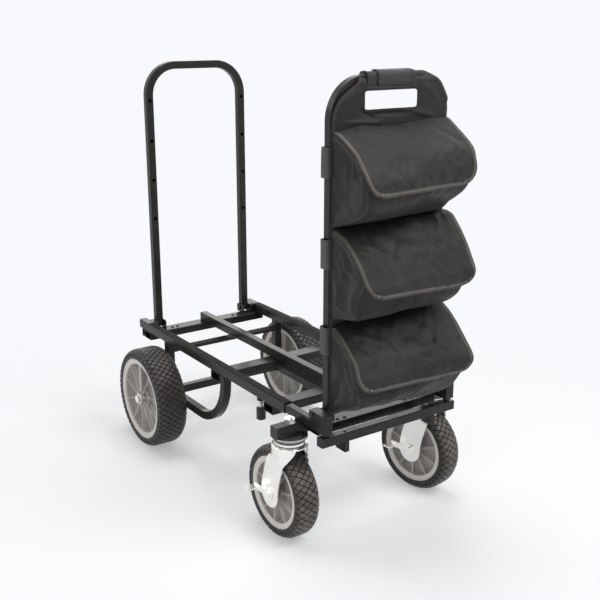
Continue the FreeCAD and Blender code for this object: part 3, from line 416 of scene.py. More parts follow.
def binding_tape(name, tone, width):
    """Ribbed binding tape with rows of stitches along its inner edge, painted light also as the highlight of the
    tape's lit edges.
    """
    finish = Finish(name, {"Specular IOR Level": 0.3, "Sheen Weight": 0.1})
    along, across = uv_axes(finish)
    rib = finish.wave(along, RIB_PITCH)
    # two light rows: real stitching, painted lighter as the highlight of the tape's lit edges
    stitches_and_edge_highlight = dashes(finish, along, across, width * 0.72) + dashes(
        finish, along, across, width * 0.24)
    dust = finish.step(finish.cloud(24.0, 5.0), 0.3, 0.75)
    base = finish.mix(dust * 0.7 + rib * 0.3, shade(tone, 0.36), shade(tone, 0.70))
    finish.set(base_color=finish.mix(stitches_and_edge_highlight, base, shade(tone, 1.40)),
               roughness=0.78 - rib * 0.1)
    finish.bump(rib * 0.4 + stitches_and_edge_highlight * 0.6, 0.0005, 0.6)
    return finish.material


# ------------------------------------------------------------------ modelling helpers

def rest():
    """Leaves edit mode with nothing selected."""
    if bpy.context.mode != "OBJECT":
        bpy.ops.object.mode_set(mode="OBJECT")
    bpy.ops.object.select_all(action="DESELECT")


def take(piece):
    """Makes one object the selected and active one."""
    rest()
    piece.select_set(True)
    bpy.context.view_layer.objects.active = piece


def open_edit(piece, kind="FACE"):
    """Enters edit mode on one object with nothing selected."""
    take(piece)
    bpy.ops.object.mode_set(mode="EDIT")
    bpy.ops.mesh.select_mode(type=kind)
    bpy.ops.mesh.select_all(action="DESELECT")


def choose(kind, test):
    """Selects the faces, edges or vertices of the open mesh that pass a test."""
    bpy.ops.mesh.select_all(action="DESELECT")
    mesh = bpy.context.edit_object.data
    work = bmesh.from_edit_mesh(mesh)
    items = {"FACE": work.faces, "EDGE": work.edges, "VERT": work.verts}[kind]
    for item in items:
        if kind == "FACE":
            passed = test(item.calc_center_median(), item.normal)
        elif kind == "EDGE":
            ends = [vertex.co for vertex in item.verts]
            passed = test((ends[0] + ends[1]) / 2, (ends[1] - ends[0]).normalized())
        else:
            passed = test(item.co)
        if passed:
            item.select = True
    work.select_flush_mode()
    bmesh.update_edit_mesh(mesh)


def freeze():
    """Puts the active piece's place, turn and size into its mesh."""
    bpy.ops.object.transform_apply(location=True, rotation=True, scale=True)


def smooth_by_angle(piece, angle):
    """Shades a piece smooth, apart from edges sharper than an angle in degrees."""
    take(piece)
    bpy.ops.object.shade_smooth_by_angle(angle=math.radians(angle))


def close_edit(name, angle=35.0, merge=0.00001):
    """Merges doubles, turns faces outwards, leaves edit mode and shades the piece."""
    bpy.ops.mesh.select_all(action="SELECT")
    bpy.ops.mesh.remove_doubles(threshold=merge)
    bpy.ops.mesh.normals_make_consistent(inside=False)
    bpy.ops.object.mode_set(mode="OBJECT")
    piece = bpy.context.active_object
    piece.name = piece.data.name = name
    freeze()
    bpy.ops.object.shade_smooth_by_angle(angle=math.radians(angle))
    return piece


def cut_across(spots, normal):
    """Cuts the whole open mesh with parallel planes through the given spots."""
    for spot in spots:
        bpy.ops.mesh.select_all(action="SELECT")
        bpy.ops.mesh.bisect(plane_co=spot, plane_no=normal)


def join(piece, *others):
    """Joins other pieces into the first one."""
    take(piece)
    for other in others:
        other.select_set(True)
    bpy.ops.object.join()


def apply_modifier(piece, kind, **settings):
    """Adds a modifier with its settings and applies it."""
    take(piece)
    modifier = piece.modifiers.new(kind.title(), kind)
    for key, value in settings.items():
        setattr(modifier, key, value)
    bpy.ops.object.modifier_apply(modifier=modifier.name)


def soften(piece, thickness, offset):
    """Gives a cloth piece its thickness and one smooth subdivision."""
    apply_modifier(piece, "SOLIDIFY", thickness=thickness, offset=offset)
    apply_modifier(piece, "SUBSURF", levels=1, render_levels=1)
    take(piece)
    bpy.ops.object.shade_smooth()


def own_copy(piece, name, matrix):
    """A copy with its own mesh, moved by a matrix that is then applied."""
    take(piece)
    bpy.ops.object.duplicate(linked=False)
    twin = bpy.context.active_object
    twin.name = twin.data.name = name
    twin.matrix_world = matrix
    freeze()
    return twin


def dress(piece, material, body, slot, *nodes):
    """Gives a piece its finish and its body, and hides the CAD nodes it stands for; the slot is not used."""
    piece.data.materials.clear()
    piece.data.materials.append(material)
    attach(piece, body)
    if nodes:
        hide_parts(*nodes)


def sew(piece, material, *nodes):
    """Dresses a cloth piece that stays with the front handle."""
    dress(piece, material, "front_handle_and_bag", "bag_fabric", *nodes)


def smooth_line(points, count=24):
    """Points along a smooth curve through the given points."""
    points = [Vector(point) for point in points]
    padded = [2 * points[0] - points[1]] + points + [2 * points[-1] - points[-2]]
    line = []
    for index in range(len(points) - 1):
        a, b, c, d = padded[index:index + 4]
        for tick in range(count):
            t = tick / count
            line.append(0.5 * (2 * b + (c - a) * t + (2 * a - 5 * b + 4 * c - d) * t * t
                               + (3 * b - a - 3 * c + d) * t ** 3))
    line.append(points[-1])
    return line


def measure(line):
    """Running length of a line of points."""
    reach = [0.0]
    for first, second in zip(line, line[1:]):
        reach.append(reach[-1] + (second - first).length)
    return reach


def along(line, reach, share):
    """The point at a share from 0 to 1 of a line's length."""
    goal = share * reach[-1]
    index = min(max(bisect_left(reach, goal), 1), len(line) - 1)
    span = reach[index] - reach[index - 1] or 1.0
    return line[index - 1].lerp(line[index], (goal - reach[index - 1]) / span)


def ridge(x, y, fold):
    """Height of one cloth fold: a soft ridge or valley along a line in the cloth."""
    x0, y0, x1, y1, width, height = fold
    run = Vector((x1 - x0, y1 - y0))
    off = Vector((x - x0, y - y0))
    t = off.dot(run) / run.length_squared
    side = abs(off.cross(run)) / run.length if run.length else 0.0
    ends = max(0.0, 1.0 - (2 * t - 1) ** 2) if 0 <= t <= 1 else 0.0
    return height * math.sqrt(ends) * math.exp(-(side / width) ** 2)


def crumple(x, y, seed, lean=0.6, pitch=0.030):
    """Creases from 0 to 1 that wander along a leaning direction, sharp at their tops."""
    along_crease, across = y - x * lean, x + y * lean
    wander = noise.noise(Vector((along_crease * 16, across * 10, seed)))
    crease = noise.noise(Vector((across / pitch + wander * 0.9, along_crease * 9, seed + 4)))
    return (1 - min(1.0, 2.6 * abs(crease))) ** 1.5 * (
        0.6 + 0.8 * noise.noise(Vector((x * 22, y * 22, seed + 8))))


def smooth(value):
    """0 under 0, 1 over 1, smooth between."""
    value = max(0.0, min(1.0, value))
    return value * value * (3 - 2 * value)


def cloth_sheet(name, columns, rows, place, size):
    """A grid of cloth whose points go where place(u, v) says, with cloth coordinates."""
    rest()
    bpy.ops.mesh.primitive_grid_add(x_subdivisions=columns, y_subdivisions=rows, size=1)
    piece = bpy.context.active_object
    piece.name = piece.data.name = name
    mesh = piece.data
    for loop, uv in zip(mesh.loops, mesh.uv_layers.active.data):
        corner = mesh.vertices[loop.vertex_index].co
        uv.uv = ((corner.x + 0.5) * size[0], (corner.y + 0.5) * size[1])
    for vertex in mesh.vertices:
        vertex.co = place(vertex.co.x + 0.5, vertex.co.y + 0.5)
    mesh.update()
    return piece


def raised(base, height):
    """A place function whose points stand off the base surface by a height."""
    nudge = 0.004

    def place(u, v):
        point = base(u, v)
        right = base(min(u + nudge, 1), v) - base(max(u - nudge, 0), v)
        down = base(u, min(v + nudge, 1)) - base(u, max(v - nudge, 0))
        normal = right.cross(down)
        if normal.length < 1e-12:
            return point
        return point + normal.normalized() * height(u, v)
    return place


def ribbon(name, spine, towards, width, thickness, closed=False):
    """A folded tape that grips an edge: along the spine, over both faces of the cloth."""
    inward, outward = edge_frames(spine, towards, closed)
    steps, half = len(spine) - 1, thickness / 2
    section = ((width, -half * 0.6), (width * 0.9, -half), (0.0, -half), (-half, -half * 0.5),
               (-half, half * 0.5), (0.0, half), (width * 0.9, half), (width, half * 0.6),
               (width, -half * 0.6))
    folds = len(section) - 1
    fold, lip, wing = 3.5, 1.5, 2.5   # places along the section: middle, cloth edge, side

    def place(u, v):
        index = round(u * steps)
        slot = section[round(v * folds)]
        return spine[index] + inward[index] * slot[0] + outward[index] * slot[1]

    piece = cloth_sheet(name, steps, folds, place, (measure(spine)[-1], 1.0))
    for uv in piece.data.uv_layers.active.data:
        uv.uv = (uv.uv.x, width * (abs(uv.uv.y * folds - fold) - lip) / wing)
    open_edit(piece)
    return close_edit(name, 50.0)


def edge_frames(spine, towards, closed=False):
    """Directions across and off a cloth edge at each point of its spine."""
    inward, outward = [], []
    last = len(spine) - 1
    for index, point in enumerate(spine):
        before = spine[index - 1] if index or not closed else spine[-2]
        after = spine[index + 1] if index < last else (spine[1] if closed else point)
        run = (after - (before if index or closed else point)).normalized()
        reach = towards[index] - point
        reach = (reach - run * reach.dot(run)).normalized()
        inward.append(reach)
        outward.append(run.cross(reach).normalized())
    return inward, outward


# ------------------------------------------------------------------ wheels

# metres: fits of a wheel's parts, then the caster fork's crown and legs
TYRE_OVERLAP = 0.0004
RIM_CLEARANCE = 0.0005
RACE_HEIGHT = 0.0157
CROWN_RADIUS = 0.0388
CROWN_THICKNESS = 0.0036
LEG_FLARE = 0.042
FOOT_RADIUS = 0.0300
FORK_HALF_WIDTH = 0.0350
LEG_THICKNESS = 0.0032


def wheel_place(joint):
    """Centre and axle direction of a wheel from its joint."""
    centre = Vector(JOINTS[joint]["pos_m"])
    return centre, Vector(JOINTS[joint]["axis"]).normalized()


def tyre_section(sizes, radius, bore, width):
    """A tyre section's crown radius, shoulder radius and half the flat part of its tread."""
    crown = radius - sizes.lug_height
    shoulder = (crown - bore) * 0.86
    return crown, shoulder, width / 2 - shoulder


def make_tyre(sizes, radius, bore, width, count, rows):
    """A tyre at the origin, axle along X: a spun section with rows of diamond lugs."""
    crown, shoulder, flat = tyre_section(sizes, radius, bore, width)
    rest()
    bpy.ops.mesh.primitive_plane_add(size=1, location=(0, 0, (crown + bore) / 2),
                                     rotation=(math.pi / 2, 0, 0))
    tyre = bpy.context.active_object
    tyre.scale = (width, crown - bore, 1)
    freeze()
    open_edit(tyre, "VERT")
    choose("VERT", lambda at: at.z > (crown + bore) / 2)
    bpy.ops.mesh.bevel(offset=shoulder, segments=8, affect="VERTICES", clamp_overlap=True)
    bpy.ops.mesh.select_all(action="SELECT")
    bpy.ops.mesh.delete(type="ONLY_FACE")
    bpy.ops.mesh.select_all(action="SELECT")
    bpy.ops.mesh.spin(steps=96, angle=2 * math.pi, center=(0, 0, 0), axis=(1, 0, 0))
    tyre = close_edit("tyre", 40.0)
    rest()
    pitch, tall = 2 * math.pi * radius / count, sizes.lug_height * 1.4
    for row in range(-rows, rows + 1):
        bpy.ops.mesh.primitive_cylinder_add(
            vertices=4, radius=0.5, depth=1,
            location=(row * sizes.row_pitch, row % 2 * pitch / 2, sizes.lug_height - tall / 2),
            scale=(sizes.lug_across, sizes.lug_along, tall))
        if row == -rows:
            freeze()
            bpy.ops.object.mode_set(mode="EDIT")
        bpy.ops.mesh.bevel(offset=sizes.lug_height * 0.30, segments=1, affect="EDGES")
    lugs = bpy.context.active_object
    cut_across([(cut * sizes.row_pitch / 2, 0, 0) for cut in range(-2 * rows - 1, 2 * rows + 2)],
               (1, 0, 0))
    choose("FACE", lambda at, normal: normal.z < -0.6)
    bpy.ops.mesh.delete(type="FACE")
    bpy.ops.object.mode_set(mode="OBJECT")
    for vertex in lugs.data.vertices:
        across, run, up = vertex.co
        lean = max(0.0, abs(across) - flat) / shoulder
        up = up if up < 0 else up * max(0.0, min(1.0, (1.40 - lean) / 0.40))
        out = min(abs(across), flat) + (shoulder + up) * math.sin(lean)
        high = crown - shoulder + (shoulder + up) * math.cos(lean)
        turn = run / radius
        vertex.co = (math.copysign(out, across), -high * math.sin(turn), high * math.cos(turn))
    open_edit(lugs)
    bpy.ops.mesh.select_all(action="SELECT")
    bpy.ops.mesh.spin(steps=count - 1, dupli=True, angle=2 * math.pi * (count - 1) / count,
                      center=(0, 0, 0), axis=(1, 0, 0))
    smooth_by_angle(lugs, 24)
    join(tyre, lugs)
    return tyre


def make_rim(sizes, radius, width, ring, depth, hub):
    """A rim at the origin, axle along X: a ring, a barrel, a web, a hub and thin ribs."""
    rest()
    bpy.ops.mesh.primitive_cylinder_add(vertices=96, radius=radius, depth=width,
                                        rotation=(0, math.pi / 2, 0))
    rim = bpy.context.active_object
    freeze()
    lip, foot, eave = 0.0016, 0.003, 0.0015
    steps = ((eave, 0.0), (ring * 0.16, -0.0012), (ring * 0.66, 0.0),    # ring
             (lip, -lip), (0.0, -depth * 0.86), (foot, -depth * 0.14),   # barrel
             (radius - ring - (lip + foot) - hub * 1.15, 0.0),           # web
             (0.001, depth * 0.30), (hub * 0.15, depth * 0.2))           # hub
    for side in (-1, 1):
        open_edit(rim)
        choose("FACE", lambda at, normal: normal.x * side > 0.9 and at.x * side > width / 2.2)
        for inset, push in steps:
            if inset:
                bpy.ops.mesh.inset(thickness=inset, depth=push)
            else:
                bpy.ops.mesh.extrude_region_move(
                    TRANSFORM_OT_translate={"value": (side * push, 0, 0)})
        bpy.ops.object.mode_set(mode="OBJECT")
    rim.data.validate()
    length = radius - ring - hub * 0.9
    for side in (-1, 1):
        open_edit(rim)
        bpy.ops.mesh.primitive_cube_add(
            size=1, location=(side * (width / 2 - depth * 0.62), 0, hub * 0.9 + length / 2),
            scale=(depth * 0.94, sizes.rib_width, length))
        bpy.ops.mesh.bevel(offset=sizes.rib_width * 0.22, segments=2, affect="EDGES")
        bpy.ops.mesh.spin(steps=sizes.ribs - 1, dupli=True, center=(0, 0, 0), axis=(1, 0, 0),
                          angle=2 * math.pi * (sizes.ribs - 1) / sizes.ribs)
        bpy.ops.object.mode_set(mode="OBJECT")
    open_edit(rim)
    return close_edit("rim", 30.0)


def place_wheels(piece, group, name, node, finish_at, slot):
    """Copies a wheel part to its two places and removes the first one."""
    for side in SIDES:
        centre, axis = wheel_place(f"{side}_{group}_wheel_spin")
        turn = math.atan2(axis.y, axis.x)
        matrix = Matrix.Translation(centre) @ Matrix.Rotation(turn, 4, "Z")
        dress(own_copy(piece, f"{side}_{name}", matrix), finish_at(side, centre, axis),
              f"{side}_{group}_wheel", slot, f"{side}_{group}_{node}")
    bpy.data.objects.remove(piece)


def build_wheels(context, group, label, width, lugs, rows, top_dust_and_highlight, ring, web, hub, gap):
    """Tyres and rims of both wheels of one kind; ring and web are shares of the sizes."""
    sizes, tones = context.scene.cart_wheels, context.scene.cart_colours
    low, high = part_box(f"left_{group}_tyre")
    radius, width = (high.z - low.z) / 2, width or high.x - low.x
    low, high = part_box(f"left_{group}_rim")
    rim_radius = (high.z - low.z) / 2
    bore, web = rim_radius - TYRE_OVERLAP, sizes.web_depth * web
    ring, crest = sizes.ring_width * ring, width / 2 - gap / 2 - web * 0.15

    # the lug tops are lightened by dust and a painted highlight, by the given share
    def rubber_at(side, centre, axis):
        return tyre_rubber(f"{side} {label} tyre rubber", tones, centre, axis,
                           tyre_section(sizes, radius, bore, width), sizes.lug_height, top_dust_and_highlight)

    def plastic_at(side, centre, axis):
        return rim_plastic(f"{side} {label} rim grey", tones, centre, axis,
                           rim_radius - ring, crest)

    place_wheels(make_tyre(sizes, radius, bore, width, lugs, rows),
                 group, f"{label}_tyre", "tyre", rubber_at, "tyre_rubber")
    place_wheels(make_rim(sizes, rim_radius - RIM_CLEARANCE, width - gap, ring, web, hub),
                 group, f"{label}_rim", "rim", plastic_at, "grey_hub")


class CART_OT_rear_wheels(bpy.types.Operator):
    """Large rear wheels: treaded tyres on ribbed rims"""
    bl_idname = "cart.rear_wheels"
    bl_label = "Rear Wheels"

    def execute(self, context):
        build_wheels(context, "rear", "big", None, lugs=51, rows=4, top_dust_and_highlight=0.33,
                     ring=1.0, web=1.0, hub=0.021, gap=0.004)
        return {"FINISHED"}


class CART_OT_caster_wheels(bpy.types.Operator):
    """Front caster wheels: treaded tyres on ribbed rims"""
    bl_idname = "cart.caster_wheels"
    bl_label = "Caster Wheels"

    def execute(self, context):
        build_wheels(context, "caster", "small", 0.054, lugs=41, rows=3, top_dust_and_highlight=1.0,
                     ring=0.85, web=0.7, hub=0.017, gap=0.003)
        return {"FINISHED"}


def fork_leg(side, way, crown, spin, trail, matrix):
    """One pressed leg: from the rim of the crown disc down and round the wheel bolt."""
    fall = crown - 0.0010 - spin.z

    def place(u, v):
        across, run = 2 * u - 1, v * (fall + FOOT_RADIUS * math.pi / 2)
        drop, bend = min(run, fall), max(0.0, run - fall) / FOOT_RADIUS
        blend = smooth(drop / LEG_FLARE)
        half = FOOT_RADIUS * math.cos(min(bend, math.pi / 2))
        angle = across * math.radians(74)
        rim_x, rim_y = CROWN_RADIUS * math.cos(angle), CROWN_RADIUS * math.sin(angle)
        middle = trail * smooth(drop / fall)
        return matrix @ Vector((way * (rim_x + (FORK_HALF_WIDTH - rim_x) * blend),
                                rim_y * (1 - blend) + (middle + across * half) * blend,
                                spin.z + fall - drop - FOOT_RADIUS * math.sin(bend)))

    leg = cloth_sheet(f"{side}_fork_leg", 24, 60, place, (1.0, 1.0))
    apply_modifier(leg, "SOLIDIFY", thickness=LEG_THICKNESS, offset=way)
    return leg


class CART_OT_caster_forks(bpy.types.Operator):
    """Caster forks: a pressed crown that flares into two legs, under a turned race"""
    bl_idname = "cart.caster_forks"
    bl_label = "Caster Forks"

    def execute(self, context):
        tones = context.scene.cart_colours
        for side in SIDES:
            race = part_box(f"{side}_caster_fork")[1].z
            crown = race - RACE_HEIGHT
            swivel, spin = (wheel_place(f"{side}_caster_{kind}")[0] for kind in
                            ("swivel", "wheel_spin"))
            trail = math.hypot(spin.x - swivel.x, spin.y - swivel.y)
            turn = math.atan2(spin.y - swivel.y, spin.x - swivel.x) - math.pi / 2
            matrix = Matrix.Translation((swivel.x, swivel.y, 0)) @ Matrix.Rotation(turn, 4, "Z")
            fork = own_copy(frame["nodes"][f"{side}_caster_fork"], f"{side}_fork",
                            Matrix.Identity(4))
            open_edit(fork)
            bpy.ops.mesh.select_all(action="SELECT")
            bpy.ops.mesh.remove_doubles(threshold=0.00002)
            bpy.ops.mesh.bisect(plane_co=(0, 0, crown + 0.0004), plane_no=(0, 0, 1),
                                use_fill=True, clear_inner=True)
            rest()
            bpy.ops.mesh.primitive_cylinder_add(
                vertices=64, radius=CROWN_RADIUS, depth=CROWN_THICKNESS,
                location=(swivel.x, swivel.y, crown - CROWN_THICKNESS / 2))
            disc = bpy.context.active_object
            freeze()
            apply_modifier(disc, "BEVEL", width=0.0012, segments=3, limit_method="ANGLE")
            join(fork, disc, *(fork_leg(side, way, crown, spin, trail, matrix)
                               for way in (-1, 1)))
            smooth_by_angle(fork, 35)
            # the race's bands are painted reflections, darker than the zinc
            finish = banded_race(
                f"{side} fork zinc", tones.zinc,
                [(race - 0.0150, race - 0.0112), (race - 0.0078, race - 0.0010)])
            dress(fork, finish, f"{side}_caster", "zinc_plate", f"{side}_caster_fork")
        return {"FINISHED"}


# ------------------------------------------------------------------ bag

def seam_line(which):
    """Height of a flap's seam on the back panel."""
    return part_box(f"{which}_flap")[1].z


def panel_face():
    """The back panel's front face: its y."""
    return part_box("bag_back_panel")[0].y


# metres: how much thicker a binding is than its cloth, then a corner piping's size
TAPE_OVER_CLOTH = 0.0012
WELT_WIDTH, WELT_THICKNESS = 0.0024, 0.0034
# side views at a flap's left and right ends: (depth, drop) from its seam, in metres
FLAP_SIDES = {
    "upper": (((0.0028, 0.0088), (0.0220, 0.0133), (0.0554, 0.0315), (0.0733, 0.0439),
               (0.0895, 0.0634), (0.1032, 0.0795), (0.1130, 0.0950), (0.1180, 0.1170)),
              ((0.0028, -0.0045), (0.0279, 0.0115), (0.0486, 0.0253), (0.0780, 0.0497),
               (0.0879, 0.0720), (0.0908, 0.0952), (0.0880, 0.1180))),
    "middle": (((0.0028, 0.0021), (0.0210, 0.0090), (0.0416, 0.0176), (0.0727, 0.0420),
                (0.0900, 0.0620), (0.1036, 0.0800), (0.1150, 0.0970), (0.1210, 0.1160)),
               ((0.0028, -0.0080), (0.0286, -0.0011), (0.0473, 0.0165), (0.0725, 0.0491),
                (0.0917, 0.0785), (0.1035, 0.1009), (0.1031, 0.1176), (0.0990, 0.1290))),
    "lower": (((0.0028, 0.0060), (0.0267, 0.0172), (0.0561, 0.0414), (0.0786, 0.0631),
               (0.0885, 0.0844), (0.0951, 0.0986), (0.0990, 0.1190)),
              ((0.0028, -0.0040), (0.0250, 0.0090), (0.0494, 0.0263), (0.0748, 0.0502),
               (0.1001, 0.0780), (0.1113, 0.0965), (0.1097, 0.1124), (0.1040, 0.1240))),
}
# the same for a pouch, from its mouth down
POUCH_SIDES = {
    "upper": (((0.0980, 0.0820), (0.1040, 0.1000), (0.1046, 0.1118), (0.1027, 0.1411),
               (0.0899, 0.1560), (0.0713, 0.1655), (0.0290, 0.1796), (0.0010, 0.1865)),
              ((0.0740, 0.0540), (0.0820, 0.0780), (0.0830, 0.1050), (0.0774, 0.1277),
               (0.0618, 0.1439), (0.0456, 0.1564), (0.0296, 0.1720), (0.0010, 0.1800))),
    "middle": (((0.0920, 0.0720), (0.1010, 0.0880), (0.0931, 0.1068), (0.0817, 0.1290),
                (0.0761, 0.1461), (0.0705, 0.1653), (0.0298, 0.1741), (0.0010, 0.1770)),
               ((0.0740, 0.0580), (0.0880, 0.0850), (0.0880, 0.1150), (0.0806, 0.1380),
                (0.0740, 0.1539), (0.0566, 0.1693), (0.0279, 0.1800), (0.0010, 0.1820))),
    "lower": (((0.0800, 0.0720), (0.0860, 0.0930), (0.0851, 0.1189), (0.0893, 0.1340),
               (0.0905, 0.1455), (0.0700, 0.1600), (0.0469, 0.1700), (0.0010, 0.1860)),
              ((0.0780, 0.0600), (0.0960, 0.0850), (0.0980, 0.1080), (0.0882, 0.1347),
               (0.0778, 0.1560), (0.0695, 0.1664), (0.0407, 0.1850), (0.0010, 0.1880))),
}


def side_lines(sides, which):
    """Smooth side views of a flap or pouch at its left and right ends, as (depth, drop)."""
    lines = [smooth_line([(0, depth, drop) for depth, drop in side]) for side in sides[which]]
    return [(line, measure(line)) for line in lines]


def between(lines, right, v):
    """Depth and drop at a share v of the side view, between the left and right ends."""
    first, second = (along(line, reach, v) for line, reach in lines)
    point = first.lerp(second, right)
    return point.y, point.z


# folds in the cloth: two ends (x, y), width and height, in metres
FLAP_FOLDS = {
    "upper": ((0.085, 0.020, 0.128, 0.075, 0.0060, 0.0036),
              (0.060, 0.035, 0.112, 0.100, 0.0080, -0.0026),
              (-0.100, 0.012, -0.040, 0.070, 0.0120, -0.0030),
              (-0.120, 0.010, -0.085, 0.085, 0.0070, 0.0022),
              (-0.060, 0.110, 0.060, 0.100, 0.0160, 0.0020),
              (0.020, 0.020, 0.050, 0.085, 0.0180, 0.0020)),
    "middle": ((0.100, 0.002, 0.078, 0.080, 0.0080, -0.0040),
               (0.118, 0.010, 0.104, 0.090, 0.0070, 0.0026),
               (-0.112, 0.052, -0.074, 0.082, 0.0060, -0.0030),
               (-0.090, 0.030, -0.030, 0.110, 0.0130, 0.0028),
               (-0.020, 0.050, 0.075, 0.085, 0.0120, 0.0024),
               (0.000, 0.015, 0.050, 0.030, 0.0120, -0.0022)),
    "lower": ((-0.110, 0.030, -0.050, 0.075, 0.0090, -0.0032),
              (-0.100, 0.060, -0.040, 0.125, 0.0120, 0.0024),
              (0.070, 0.020, 0.118, 0.085, 0.0110, 0.0022),
              (-0.010, 0.040, 0.060, 0.090, 0.0150, 0.0026),
              (0.020, 0.100, 0.095, 0.080, 0.0090, -0.0020)),
}


# share of the half width, and height of the seam there in metres
SEAM_MARKS = ((-1.0, 0.0), (-0.78, 0.0041), (-0.545, 0.0080), (-0.235, 0.0017),
              (0.05, -0.0024), (0.33, 0.0), (0.70, 0.0019), (1.0, 0.0))


def crease_lift(x):
    """How far the seam of a flap rises or sags across the panel, from -1 to 1."""
    for (x0, z0), (x1, z1) in zip(SEAM_MARKS, SEAM_MARKS[1:]):
        if x <= x1:
            return z0 + (z1 - z0) * smooth((x - x0) / (x1 - x0))
    return 0.0


def flap_surface(which, sizes):
    """place(u, v) of a flap, its length and half its width."""
    lines = side_lines(FLAP_SIDES, which)
    top, face = seam_line(which), panel_face()
    length = lines[0][1][-1]
    low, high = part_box(f"{which}_flap")
    half = (high.x - low.x) / 2
    corner = sizes.flap_corner
    seed = POCKETS.index(which) * 7.3

    def half_width(v):
        into = v * length - (length - corner)
        if into <= 0:
            return half
        return half - corner + math.sqrt(max(corner ** 2 - into ** 2, 0))

    def base(u, v):
        x = (2 * u - 1) * half_width(v)
        depth, drop = between(lines, smooth(0.5 + x / half / 2), v)
        bulge = (1 - (x / half) ** 2) * math.sin(math.pi * min(1.0, v * 1.15))
        return Vector((x, face - depth - 0.003 * bulge,
                       top - drop + 0.003 * bulge + crease_lift(x / half) * max(0.0, 1 - v * 3.2)))

    def height(u, v):
        x, y = (2 * u - 1) * half_width(v), v * length
        pinned = min(1.0, v * 7) * min(1.0, (1 - v) * 9 + 0.2) * min(
            1.0, 0.35 + 8 * min(u, 1 - u))
        tall = 1.5 * sum(ridge(x, y, fold) for fold in FLAP_FOLDS[which])
        tall += 0.0042 * noise.noise(Vector((x * 15, y * 20, seed)))
        tall += 0.0016 * noise.noise(Vector((x * 44, y * 52, seed + 3)))
        tall += 0.0032 * crumple(x, y, seed + 11, 0.5, 0.036)
        tall += 0.0018 * crumple(x, y, seed + 19, -0.9, 0.022)
        return tall * pinned

    return raised(base, height), length, half


def flap_cloth(tones, length, half):
    """Bag cloth with the stitched closing patch of a flap."""
    finish = bag_cloth("flap cloth", tones.cloth)
    across, down = uv_axes(finish)
    left, right = half - 0.012, 2 * half - 0.026
    high, low = length - 0.068, length - 0.022
    inside_x = finish.step(across, left - 0.001, left) - finish.step(across, right, right + 0.001)
    inside_y = finish.step(down, high - 0.001, high) - finish.step(down, low, low + 0.001)
    rows = (dashes(finish, across, down, high) + dashes(finish, across, down, low)) * inside_x
    rows = rows + (dashes(finish, down, across, left)
                   + dashes(finish, down, across, right)) * inside_y
    patch = inside_x * inside_y
    old = finish.shader.inputs["Base Color"].links[0].from_socket
    finish.set(base_color=finish.mix(rows * 0.90 + patch * 0.22, Term(finish, old),
                                     shade(tones.cloth, 0.40)))
    return finish.material


def edge_marks(down, across):
    """(u, v) from a sheet's left seam round its front edge to its right seam."""
    side = [v / down for v in range(1, down)]
    return ([(0.0, v) for v in side] + [(u / across, 1.0) for u in range(across + 1)]
            + [(1.0, v) for v in reversed(side)])


def hem(surface):
    """Points of a flap's free edge, and the points inside it that they face."""
    marks = edge_marks(30, 40)
    return ([surface(u, v) for u, v in marks],
            [surface(0.5 + (u - 0.5) * 0.90, 0.03 + v * 0.90) for u, v in marks])


class CART_OT_flaps(bpy.types.Operator):
    """Pocket flaps: soft cloth sheets with bound edges"""
    bl_idname = "cart.flaps"
    bl_label = "Flaps"

    def execute(self, context):
        sizes, tones = context.scene.cart_bag, context.scene.cart_colours
        tape_finish = binding_tape("binding tape", tones.tape, sizes.tape_width)
        finish = None
        for which in POCKETS:
            surface, length, half = flap_surface(which, sizes)
            if finish is None:
                finish = flap_cloth(tones, length, half)
            sheet = cloth_sheet(f"{which}_cover", 72, 44, surface, (2 * half, length))
            area = sum(face.area for face in sheet.data.polygons)
            cut = (area + 2 * (1 - math.pi / 4) * sizes.flap_corner ** 2) / (2 * half)
            soften(sheet, sizes.cloth, 0.0)
            dress(sheet, finish, f"{which}_flap", "bag_fabric", f"{which}_flap")
            tape = ribbon(f"{which}_cover_binding", *hem(surface),
                          sizes.tape_width, sizes.cloth + TAPE_OVER_CLOTH)
            dress(tape, tape_finish, f"{which}_flap", "bag_fabric")
            2 * half
            for piece in (sheet, tape):
                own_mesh(piece)
        return {"FINISHED"}


# shares of a pouch's cloth, from its back edge: end of the gusset and of the corner
GUSSET_END = 0.20
CORNER_END = 0.27
PIPING_AT = 0.232


